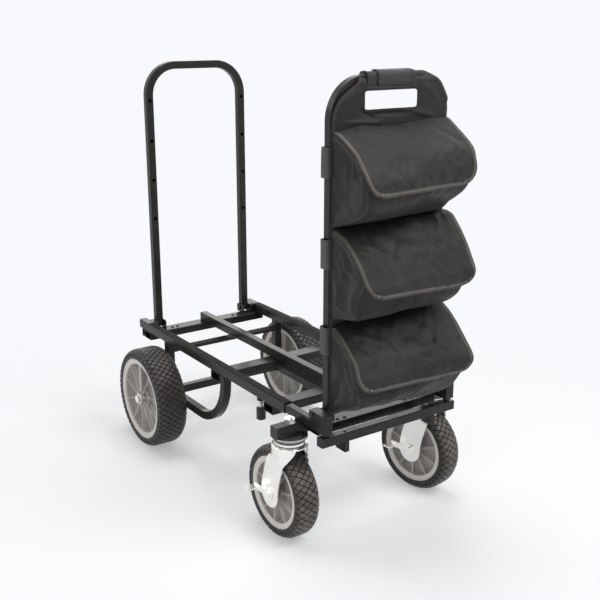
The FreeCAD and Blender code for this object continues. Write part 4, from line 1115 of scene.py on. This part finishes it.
def pocket_surface(which, sizes):
    """place(u, v) of a pocket, from its back edge round the gusset and over the front."""
    low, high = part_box(f"{which}_pocket")
    top, face, half = seam_line(which), panel_face() - 0.0006, (high.x - low.x) / 2 - 0.0015
    lines = side_lines(POUCH_SIDES, which)
    lids = [[(point.y, point.z) for point in line] for line, _ in side_lines(FLAP_SIDES, which)]
    seed = POCKETS.index(which) * 5.1

    def lid(right, depth):
        """How far down the flap is at a depth."""
        drops = []
        for marks in lids:
            index = next((i for i, mark in enumerate(marks) if mark[0] >= depth), len(marks) - 1)
            drops.append(marks[index][1])
        return drops[0] + (drops[1] - drops[0]) * right

    def base(u, v):
        share, right = min(u, 1 - u), smooth((u - 0.25) / 0.5)
        depth, drop = between(lines, right, v)
        back = 0.006 + 0.172 * v
        radius = min(sizes.pocket_corner, depth * 0.45)
        turn = radius / max(depth, 1e-6)
        if share < GUSSET_END:
            x, k = half, share / GUSSET_END * (1 - turn)
        elif share < CORNER_END:
            angle = (share - GUSSET_END) / (CORNER_END - GUSSET_END) * math.pi / 2
            x = half - radius * (1 - math.cos(angle))
            k = 1 - turn + turn * math.sin(angle)
        else:
            x = (half - radius) * (1 - (share - CORNER_END) / (0.5 - CORNER_END))
            k = 1.0
        x -= 0.020 * smooth((k - 0.2) / 0.8) * smooth((v - 0.25) / 0.6) * right
        straight = back + (drop - back) * k
        raise_up = lid(right, depth * k) + 0.0030 - (0.006 + (between(lines, right, 0)[1] - 0.006)
                                                   * k)
        straight += raise_up * max(0.0, 1 - v * 1.6) ** 2
        return Vector((-x if u <= 0.5 else x, face - depth * k, top - straight))

    def height(u, v):
        share, mirror = min(u, 1 - u), 1 if u > 0.5 else 0
        gusset = max(0.0, 1 - abs(share - 0.105) / 0.10)
        point = base(u, v)
        y, z = (face - point.y), top - point.z
        tall = -0.0070 * gusset ** 0.8
        tall += 0.0095 * gusset ** 0.5 * crumple(y, z, seed + mirror * 3.1, -0.75, 0.040)
        tall += 0.0030 * gusset ** 0.5 * crumple(y, z, seed + mirror * 2.3 + 6, 0.9, 0.026)
        tall += 0.0060 * gusset * noise.noise(Vector((y * 30, z * 24, seed + mirror)))
        centre = max(0.0, (share - 0.25) / 0.25) ** 0.5
        tall += 0.0028 * centre * noise.noise(Vector((point.x * 15, z * 26, seed + 9)))
        tall += 0.0012 * centre * noise.noise(Vector((point.x * 44, z * 60, seed + 2)))
        tall += 0.0030 * centre * crumple(point.x, z, seed + 17, 0.4, 0.032)
        seam = math.exp(-((share - 0.235) / 0.012) ** 2) * 0.0016
        return tall * min(1.0, (1 - v) * 6) * min(1.0, v * 6) + seam * min(1.0, v * 12)

    return raised(base, lambda u, v: -height(u, v)), lines[0][1][-1]


class CART_OT_pockets(bpy.types.Operator):
    """Bag pockets: gusseted pouches with soft folds and piped corners"""
    bl_idname = "cart.pockets"
    bl_label = "Pockets"

    def execute(self, context):
        sizes, tones = context.scene.cart_bag, context.scene.cart_colours
        finish = bag_cloth("pouch cloth", shade(tones.cloth, 0.94)).material
        piping = binding_tape("piping tape", shade(tones.tape, 0.55), 0.004)
        hem_finish = binding_tape("mouth tape", shade(tones.tape, 0.4), sizes.tape_width)
        for which in POCKETS:
            surface, length = pocket_surface(which, sizes)
            pouch = cloth_sheet(f"{which}_pouch", 132, 52, surface, (0.44, length))
            soften(pouch, sizes.cloth, -1.0)
            sew(pouch, finish, f"{which}_pocket")
            for label, share in (("left", PIPING_AT), ("right", 1 - PIPING_AT)):
                spine, aside = ([surface(share + shift, v / 36) for v in range(34)]
                                for shift in (0.0, 0.02))
                welt = ribbon(f"{which}_pouch_piping_{label}", spine, aside,
                              WELT_WIDTH, WELT_THICKNESS)
                sew(welt, piping)
            tuck = Vector((0, 0.0035, -0.0035))
            spine, aside = ([surface(u / 60, v) + tuck for u in range(61)] for v in (0.0, 0.2))
            mouth = ribbon(f"{which}_pouch_mouth_binding", spine, aside,
                           sizes.tape_width, sizes.cloth + TAPE_OVER_CLOTH)
            sew(mouth, hem_finish)
        return {"FINISHED"}


# metres, apart from the number of points: the hand window's sides, the yoke's middle, the
# tapes and the cloth's thickness, the arch, and folds like a flap's
WINDOW = (-0.0685, 0.0645, 0.8925, 0.9305)
YOKE_MIDDLE = Vector((-0.002, 0.910))
YOKE_POINTS = 144
PANEL_TAPE = 0.0050
WINDOW_TAPE = 0.004
PANEL_TAPE_THICKNESS = 0.0034
PANEL_THICKNESS = 0.0022
YOKE_ARCH = ((-0.1356, 0.8974), (-0.1244, 0.9149), (-0.1016, 0.9320), (-0.0850, 0.9425),
             (-0.0700, 0.9585), (-0.0500, 0.9600), (0.0500, 0.9600), (0.0734, 0.9608),
             (0.0890, 0.9600), (0.1051, 0.9530), (0.1216, 0.9405), (0.1310, 0.9285),
             (0.1405, 0.9125), (0.1460, 0.8994), (0.1500, 0.8800))


YOKE_FOLDS = ((-0.078, 0.895, -0.036, 0.872, 0.0045, -0.0032),
              (0.048, 0.888, 0.112, 0.873, 0.0050, 0.0030),
              (-0.110, 0.872, -0.020, 0.869, 0.0050, 0.0034),
              (-0.050, 0.886, 0.040, 0.884, 0.0050, -0.0030),
              (0.076, 0.938, 0.122, 0.902, 0.0060, 0.0022),
              (-0.124, 0.905, -0.080, 0.930, 0.0050, 0.0018))


def rounded_outline(left, right, low, high, radius):
    """Points round a rectangle with rounded corners."""
    outline = []
    for corner, (cx, cy) in enumerate(((right, high), (left, high), (left, low), (right, low))):
        sx, sy = (-1 if cx == right else 1), (-1 if cy == high else 1)
        for tick in range(13):
            angle = (corner + tick / 12) * math.pi / 2
            outline.append(Vector((cx + sx * radius + radius * math.cos(angle),
                                   cy + sy * radius + radius * math.sin(angle))))
    return outline + outline[:1]


def even_loop(outline, middle, count):
    """Points of an outline, evenly by angle round a middle point."""
    points = []
    for index in range(count):
        angle = 2 * math.pi * index / count
        ray = Vector((math.cos(angle), math.sin(angle)))
        best = 0.0
        for first, second in zip(outline, outline[1:]):
            side = second - first
            bottom = ray.cross(side)
            if abs(bottom) < 1e-12:
                continue
            away = (first - middle).cross(side) / bottom
            share = (first - middle).cross(ray) / bottom
            if away > 0 and -1e-6 <= share <= 1 + 1e-6:
                best = max(best, away)
        points.append(middle + ray * best)
    return points


class CART_OT_back_panel(bpy.types.Operator):
    """Bag back panel: arched cloth with a bound edge and a hand window"""
    bl_idname = "cart.back_panel"
    bl_label = "Back Panel"

    def execute(self, context):
        sizes, tones = context.scene.cart_bag, context.scene.cart_colours
        low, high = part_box("bag_back_panel")
        half, mid, split = (high.x - low.x) / 2, (low.y + high.y) / 2, seam_line("upper")
        lap, middle, count = half + 0.010, YOKE_MIDDLE, YOKE_POINTS
        window = even_loop(rounded_outline(*WINDOW, sizes.window_corner), middle, count)
        arch = [(-half, split), (-half, 0.881), *YOKE_ARCH, (lap, split)]
        arch = [Vector((point.y, point.z)) for point in smooth_line(
            [(0, x, z) for x, z in arch], 6)]
        outer = even_loop(arch + arch[:1], middle, count)

        def skin(x, z):
            """The cloth at a place on the panel: it lies over the bar and the right post."""
            rise = sum(ridge(x, z, fold) for fold in YOKE_FOLDS)
            rise += 0.0014 * noise.noise(Vector((x * 16, z * 16, 4.0)))
            rise += 0.0010 * crumple(x, z, 2.0, 0.3, 0.04)
            sleeve = smooth((0.062 - abs(x)) / 0.008)
            back = 0.0105 * smooth((z - 0.934) / 0.010) * sleeve
            back += 0.0120 * smooth((z - 0.945) / 0.016) * (1 - sleeve)
            back = max(back, 0.012 * smooth((x - half - 0.001) / 0.009))
            return Vector((x, mid - rise * smooth((0.93 - z) / 0.02 + 1) + back, z))

        def place(u, v):
            index = round(u * count) % count
            flat = window[index].lerp(outer[index], v)
            return skin(flat.x, flat.y)

        head = cloth_sheet("bag_panel_head", count, 16, place, (1.0, 1.0))
        tail = cloth_sheet("bag_panel_tail", 52, 96, lambda u, v: skin(
            -half + (half + lap) * u, split + (low.z - split) * v), (1.0, 1.0))
        join(head, tail)
        open_edit(head)
        panel = close_edit("bag_panel", 60.0, 0.0001)
        apply_modifier(panel, "SOLIDIFY", thickness=PANEL_THICKNESS, offset=0.0)
        smooth_by_angle(panel, 60)
        sew(panel, bag_cloth("panel cloth", shade(tones.cloth, 0.96)).material,
            "bag_back_panel")
        sides = [split + (low.z - split) * tick / 60 for tick in range(60, 0, -1)]
        edge = [(-half, z) for z in sides] + [tuple(point) for point in arch]
        edge += [(lap, z) for z in reversed(sides)]
        tape = ribbon(
            "bag_panel_binding", [skin(x, z) for x, z in edge],
            [skin(x * 0.9 + middle.x * 0.1, min(z, z * 0.9 + middle.y * 0.1)) for x, z in edge],
            PANEL_TAPE, PANEL_TAPE_THICKNESS)
        sew(tape, binding_tape("panel tape", shade(tones.tape, 0.36), PANEL_TAPE))
        window.append(window[0])
        rim = ribbon("hand_window_binding", [skin(point.x, point.y) for point in window],
                     [skin(*(point + (point - middle) * 0.3)) for point in window],
                     WINDOW_TAPE, PANEL_TAPE_THICKNESS, closed=True)
        sew(rim, bag_cloth("window edge cloth", shade(tones.cloth, 0.8)).material)
        return {"FINISHED"}


# metres: the straps' middles, size, edge towards the bag and rows of stitches
STRAP_HEIGHTS = (0.800, 0.624, 0.448)
STRAP_TALL = 0.058
STRAP_THICKNESS = 0.0020
STRAP_ROUNDNESS = 0.0055
STRAP_SLACK = 0.0050
EDGE_ROUNDNESS = 0.0006
STRAP_INNER_EDGE = 0.1215
STITCH_LINE = 0.012


class CART_OT_straps(bpy.types.Operator):
    """Bag straps: cloth loops that close round the posts"""
    bl_idname = "cart.straps"
    bl_label = "Straps"

    def execute(self, context):
        tones = context.scene.cart_colours
        low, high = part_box("bag_straps")
        finish = bag_cloth("strap cloth", shade(tones.cloth, 5.6), 0.0016).material
        reach = high.x + STRAP_SLACK
        loop_half = (reach - STRAP_INNER_EDGE) / 2
        rest()
        bpy.ops.mesh.primitive_cube_add(size=1)
        first = bpy.context.active_object
        first.scale = (2 * loop_half, high.y - low.y, STRAP_TALL)
        freeze()
        open_edit(first, "EDGE")
        choose("EDGE", lambda at, run: abs(run.z) > 0.9)
        bpy.ops.mesh.bevel(offset=STRAP_ROUNDNESS, segments=5, affect="EDGES")
        choose("FACE", lambda at, normal: abs(normal.z) > 0.9)
        bpy.ops.mesh.delete(type="FACE")
        bpy.ops.mesh.select_all(action="SELECT")
        bpy.ops.mesh.select_mode(type="EDGE")
        cut_across([(0, 0, STITCH_LINE), (0, 0, -STITCH_LINE)], (0, 0, 1))
        first = close_edit("strap", 50.0)
        apply_modifier(first, "SOLIDIFY", thickness=STRAP_THICKNESS, offset=-1.0)
        apply_modifier(first, "BEVEL", width=EDGE_ROUNDNESS, segments=2, limit_method="ANGLE")
        open_edit(first)
        bpy.ops.mesh.primitive_cube_add(size=1, location=(0.0, (low.y - high.y) / 2 + 0.0004, 0),
                                        scale=(loop_half * 1.3, 0.0016, 0.0535))
        bpy.ops.mesh.bevel(offset=EDGE_ROUNDNESS, segments=2, affect="EDGES")
        bpy.ops.object.mode_set(mode="OBJECT")
        for index, height in enumerate(STRAP_HEIGHTS):
            for side, label in ((-1, "left"), (1, "right")):
                matrix = Matrix.Translation((side * (reach - loop_half),
                                             (low.y + high.y) / 2, height))
                strap = own_copy(first, f"strap_{label}_{index + 1}", matrix)
                for vertex in strap.data.vertices:
                    at = vertex.co
                    at.y += 0.0009 * noise.noise(Vector((at.x * 60, at.z * 60, index * 3.0)))
                    at.x += 0.0009 * noise.noise(Vector((at.z * 70, at.y * 50, side + 9.0)))
                sew(strap, finish, *(["bag_straps"] if index == 0 and side < 0 else []))
        bpy.data.objects.remove(first)
        return {"FINISHED"}


def squared(angle, radius):
    """Depth and height of a point on a bar with a rounded square section, by its angle."""
    power = 2 / 3.4
    return [math.copysign(abs(part) ** power, part) * radius
            for part in (math.cos(angle), math.sin(angle))]


# metres: the padded wrap's radius and shift, and its closing flap
WRAP_RADIUS = 0.0142
WRAP_SHIFT = 0.0025
WRAP_THICKNESS = 0.0016
COVER_RADIUS = 0.0156
COVER_THICKNESS = 0.0014
COVER_CORNER = 0.008
COVER_HALF = 0.043
COVER_TALL = 0.044


class CART_OT_handle_wrap(bpy.types.Operator):
    """Handle wrap: padded cloth closed round the top bar"""
    bl_idname = "cart.handle_wrap"
    bl_label = "Handle Wrap"

    def execute(self, context):
        tones = context.scene.cart_colours
        low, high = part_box("handle_wrap")
        mid = (low + high) / 2 + Vector((0.003, 0, 0))
        half = (high.x - low.x) / 2 - 0.002
        rest()
        bpy.ops.mesh.primitive_cylinder_add(vertices=32, radius=0.5, depth=1, location=mid,
                                            rotation=(0, math.pi / 2, 0))
        wrap = bpy.context.active_object
        open_edit(wrap)
        choose("FACE", lambda at, normal: abs(normal.x) > 0.9)
        bpy.ops.mesh.delete(type="ONLY_FACE")
        cut_across([(mid.x - 0.5 + cut / 40, 0, 0) for cut in range(1, 40)], (1, 0, 0))
        wrap = close_edit("handle_cover", 60.0)
        for vertex in wrap.data.vertices:
            off = vertex.co - mid
            angle = math.atan2(off.z, off.y)
            x = off.x * 2 * (half + WRAP_SHIFT) - WRAP_SHIFT
            ends = max(0.0, (abs(x + WRAP_SHIFT) - half + 0.0135) / 0.016)
            radius = WRAP_RADIUS + 0.0006 * noise.noise(Vector((x * 30, angle, 0.0)))
            radius += ends ** 2 * (0.0005 + 0.0005 * math.sin(angle * 7 + x * 60))
            sag = -0.004 * max(0.0, -math.sin(angle)) * (1 + 0.3 * math.sin(x * 40))
            y, z = squared(angle, radius)
            vertex.co = mid + Vector((x, min(y, high.y - mid.y - 0.0004), z + sag))
        apply_modifier(wrap, "SOLIDIFY", thickness=WRAP_THICKNESS, offset=-1.0)
        smooth_by_angle(wrap, 60)
        sew(wrap, bag_cloth("wrap cloth", shade(tones.cloth, 2.1), 0.0014).material,
            "handle_wrap")

        def patch(u, v):
            """The closing flap's cloth: wound round the wrap, with rounded corners."""
            x, run = (2 * u - 1) * COVER_HALF, (v - 0.5) * COVER_TALL
            over = max(0.0, abs(run) - COVER_TALL / 2 + COVER_CORNER)
            narrow = COVER_CORNER - math.sqrt(max(COVER_CORNER ** 2 - over ** 2, 0))
            x *= (COVER_HALF - narrow) / COVER_HALF
            radius = COVER_RADIUS + 0.0004 * noise.noise(Vector((x * 40, run * 60, 3.0)))
            y, z = squared(math.pi * 0.80 - run / 0.0165, radius)
            return mid + Vector((x + 0.004, min(y, high.y - mid.y), z))

        flap = cloth_sheet("handle_cover_flap", 40, 20, patch, (0.1, COVER_TALL))
        apply_modifier(flap, "SOLIDIFY", thickness=COVER_THICKNESS, offset=0.0)
        smooth_by_angle(flap, 50)
        sew(flap, bag_cloth("wrap flap cloth", shade(tones.cloth, 2.4)).material)
        marks = edge_marks(14, 30) + [(1 - u / 30, 0.0) for u in range(31)]
        marks.append(marks[0])
        trim = ribbon("handle_cover_piping", [patch(u, v) for u, v in marks],
                      [patch(0.5 + (u - 0.5) * 0.9, 0.5 + (v - 0.5) * 0.9) for u, v in marks],
                      0.0028, 0.0030, closed=True)
        sew(trim, binding_tape("cover piping tape", shade(tones.tape, 0.40), 0.003))
        return {"FINISHED"}


# ------------------------------------------------------------------ CAD finishes and stage

class CART_OT_frame_finishes(bpy.types.Operator):
    """Finishes of the tubes, fittings, stems and locks that come from the CAD model"""
    bl_idname = "cart.frame_finishes"
    bl_label = "Frame Finishes"

    def execute(self, context):
        tones = context.scene.cart_colours
        finishes = {
            "frame_paint": powder_coat("frame powder coat", tones.paint),
            "bright_steel": bright_plate("plated steel", shade(tones.zinc, 0.86), 0.30),
            "zinc_plate": bright_plate("bright zinc", tones.zinc, 0.24),
            "black_plastic": moulded_plastic("black end plastic", tones.plastic),
            "grip_rubber": grit_rubber("grip strip grit", tones.grit, tones.spark),
        }
        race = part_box("left_caster_fork")[1].z
        black_screws = powder_coat("black screws", shade(tones.paint, 1.3), 0.30)
        special = {
            "frame_fasteners": black_screws,
            "front_fasteners": black_screws,
            "front_spacers": finishes["frame_paint"],
            # the stem's race gets one band, a painted reflection darker than the steel
            "caster_stems": banded_race("caster stem steel", tones.zinc,
                                        [(race + 0.0002, race + 0.0032)]),
        }
        for node, piece in frame["nodes"].items():
            finish = special.get(node) or finishes.get(SLOT_OF[node])
            if finish:
                piece.data.materials.clear()
                piece.data.materials.append(finish)
        return {"FINISHED"}


LAMPS = {
    # place, size in metres, power in watts
    "key light": ((1.1, -2.5, 3.4), 2.0, 88.0),
    "fill light": ((-3.6, -1.6, 2.4), 2.6, 34.0),
    "back light": ((2.2, 3.3, 1.5), 2.8, 32.0),
    "rim light": ((-2.4, 2.4, 2.8), 1.8, 20.0),
    "top light": ((0.1, 0.4, 3.8), 1.8, 62.0),
}
LAMP_TONE = (1.0, 0.965, 0.93)
LAMP_AIM = Vector((0, 0, 0.35))
SKY_STRENGTH = 0.19
NEAR, FAR, NEAR_GLOW = 0.62, 1.6, 0.38   # the floor's own glow grows between two distances
CAMERA_PLACE = (-1.1623, -1.7341, 1.0464)
CAMERA_PITCH, CAMERA_YAW = 73.4, -34.5
LENS, SENSOR = 55.3, 36.0


class CART_OT_studio(bpy.types.Operator):
    """Pale floor, soft light and camera"""
    bl_idname = "cart.studio"
    bl_label = "Studio"

    def execute(self, context):
        tones = context.scene.cart_colours
        scene = context.scene
        scene.view_settings.view_transform = "Standard"
        rest()
        bpy.ops.mesh.primitive_plane_add(size=40, location=(0, 0, 0))
        floor = bpy.context.active_object
        floor.name = "studio_floor"
        finish = Finish("studio floor", {"Roughness": 1.0, "Specular IOR Level": 0.0})
        finish.set(base_color=tones.floor)
        away = finish.vector("LENGTH", finish.place, out="Value")
        glow = finish.step(away, NEAR, FAR) * (1 - NEAR_GLOW) + NEAR_GLOW
        finish.backdrop(glow * finish.seen(), finish.shader.outputs[0], "ShaderNodeEmission",
                        tones.studio, "Material Output")
        floor.data.materials.append(finish.material)
        scene.world = bpy.data.worlds.new("studio world")
        scene.world.use_nodes = True
        sky = Nodes(scene.world.node_tree)
        soft = sky.tree.nodes["Background"]
        soft.inputs["Color"].default_value = (1.0, 1.0, 1.0, 1.0)
        soft.inputs["Strength"].default_value = SKY_STRENGTH
        sky.backdrop(sky.seen(), soft.outputs[0], "ShaderNodeBackground", tones.studio,
                     "World Output")
        for name, (spot, size, power) in LAMPS.items():
            bpy.ops.object.light_add(type="AREA", location=spot)
            lamp = context.active_object
            lamp.name = name
            lamp.data.size = size
            lamp.data.energy = power
            lamp.data.color = LAMP_TONE
            lamp.rotation_euler = (LAMP_AIM - Vector(spot)).to_track_quat("-Z", "Y").to_euler()
        bpy.ops.object.camera_add(location=CAMERA_PLACE)
        camera = context.active_object
        camera.rotation_euler = (math.radians(CAMERA_PITCH), 0.0, math.radians(CAMERA_YAW))
        camera.data.lens = LENS
        camera.data.sensor_width = SENSOR
        scene.camera = camera
        return {"FINISHED"}


class CART_PT_panel(bpy.types.Panel):
    """Sidebar panel with the cart's sizes and builders"""
    bl_idname = "CART_PT_panel"
    bl_label = "Equipment Cart"
    bl_space_type = "VIEW_3D"
    bl_region_type = "UI"
    bl_category = "Cart"

    def draw(self, context):
        layout = self.layout
        for group, kind in GROUPS.items():
            box = layout.box()
            for label in kind.__annotations__:
                box.prop(getattr(context.scene, group), label)
        for builder in BUILDERS:
            layout.operator(builder.bl_idname)


BUILDERS = (CART_OT_studio, CART_OT_frame_finishes, CART_OT_rear_wheels,
            CART_OT_caster_wheels, CART_OT_caster_forks, CART_OT_back_panel,
            CART_OT_pockets, CART_OT_flaps, CART_OT_straps, CART_OT_handle_wrap)


CLASSES = (*GROUPS.values(), *BUILDERS, CART_PT_panel)


def register():
    for kind in CLASSES:
        bpy.utils.register_class(kind)
    for group, kind in GROUPS.items():
        setattr(bpy.types.Scene, group, PointerProperty(type=kind))


def unregister():
    for group in GROUPS:
        delattr(bpy.types.Scene, group)
    for kind in reversed(CLASSES):
        bpy.utils.unregister_class(kind)


def main():
    """Builds everything in order."""
    register()
    for builder in BUILDERS:
        group, call = builder.bl_idname.split(".")
        getattr(getattr(bpy.ops, group), call)()


if __name__ == "__main__":
    main()
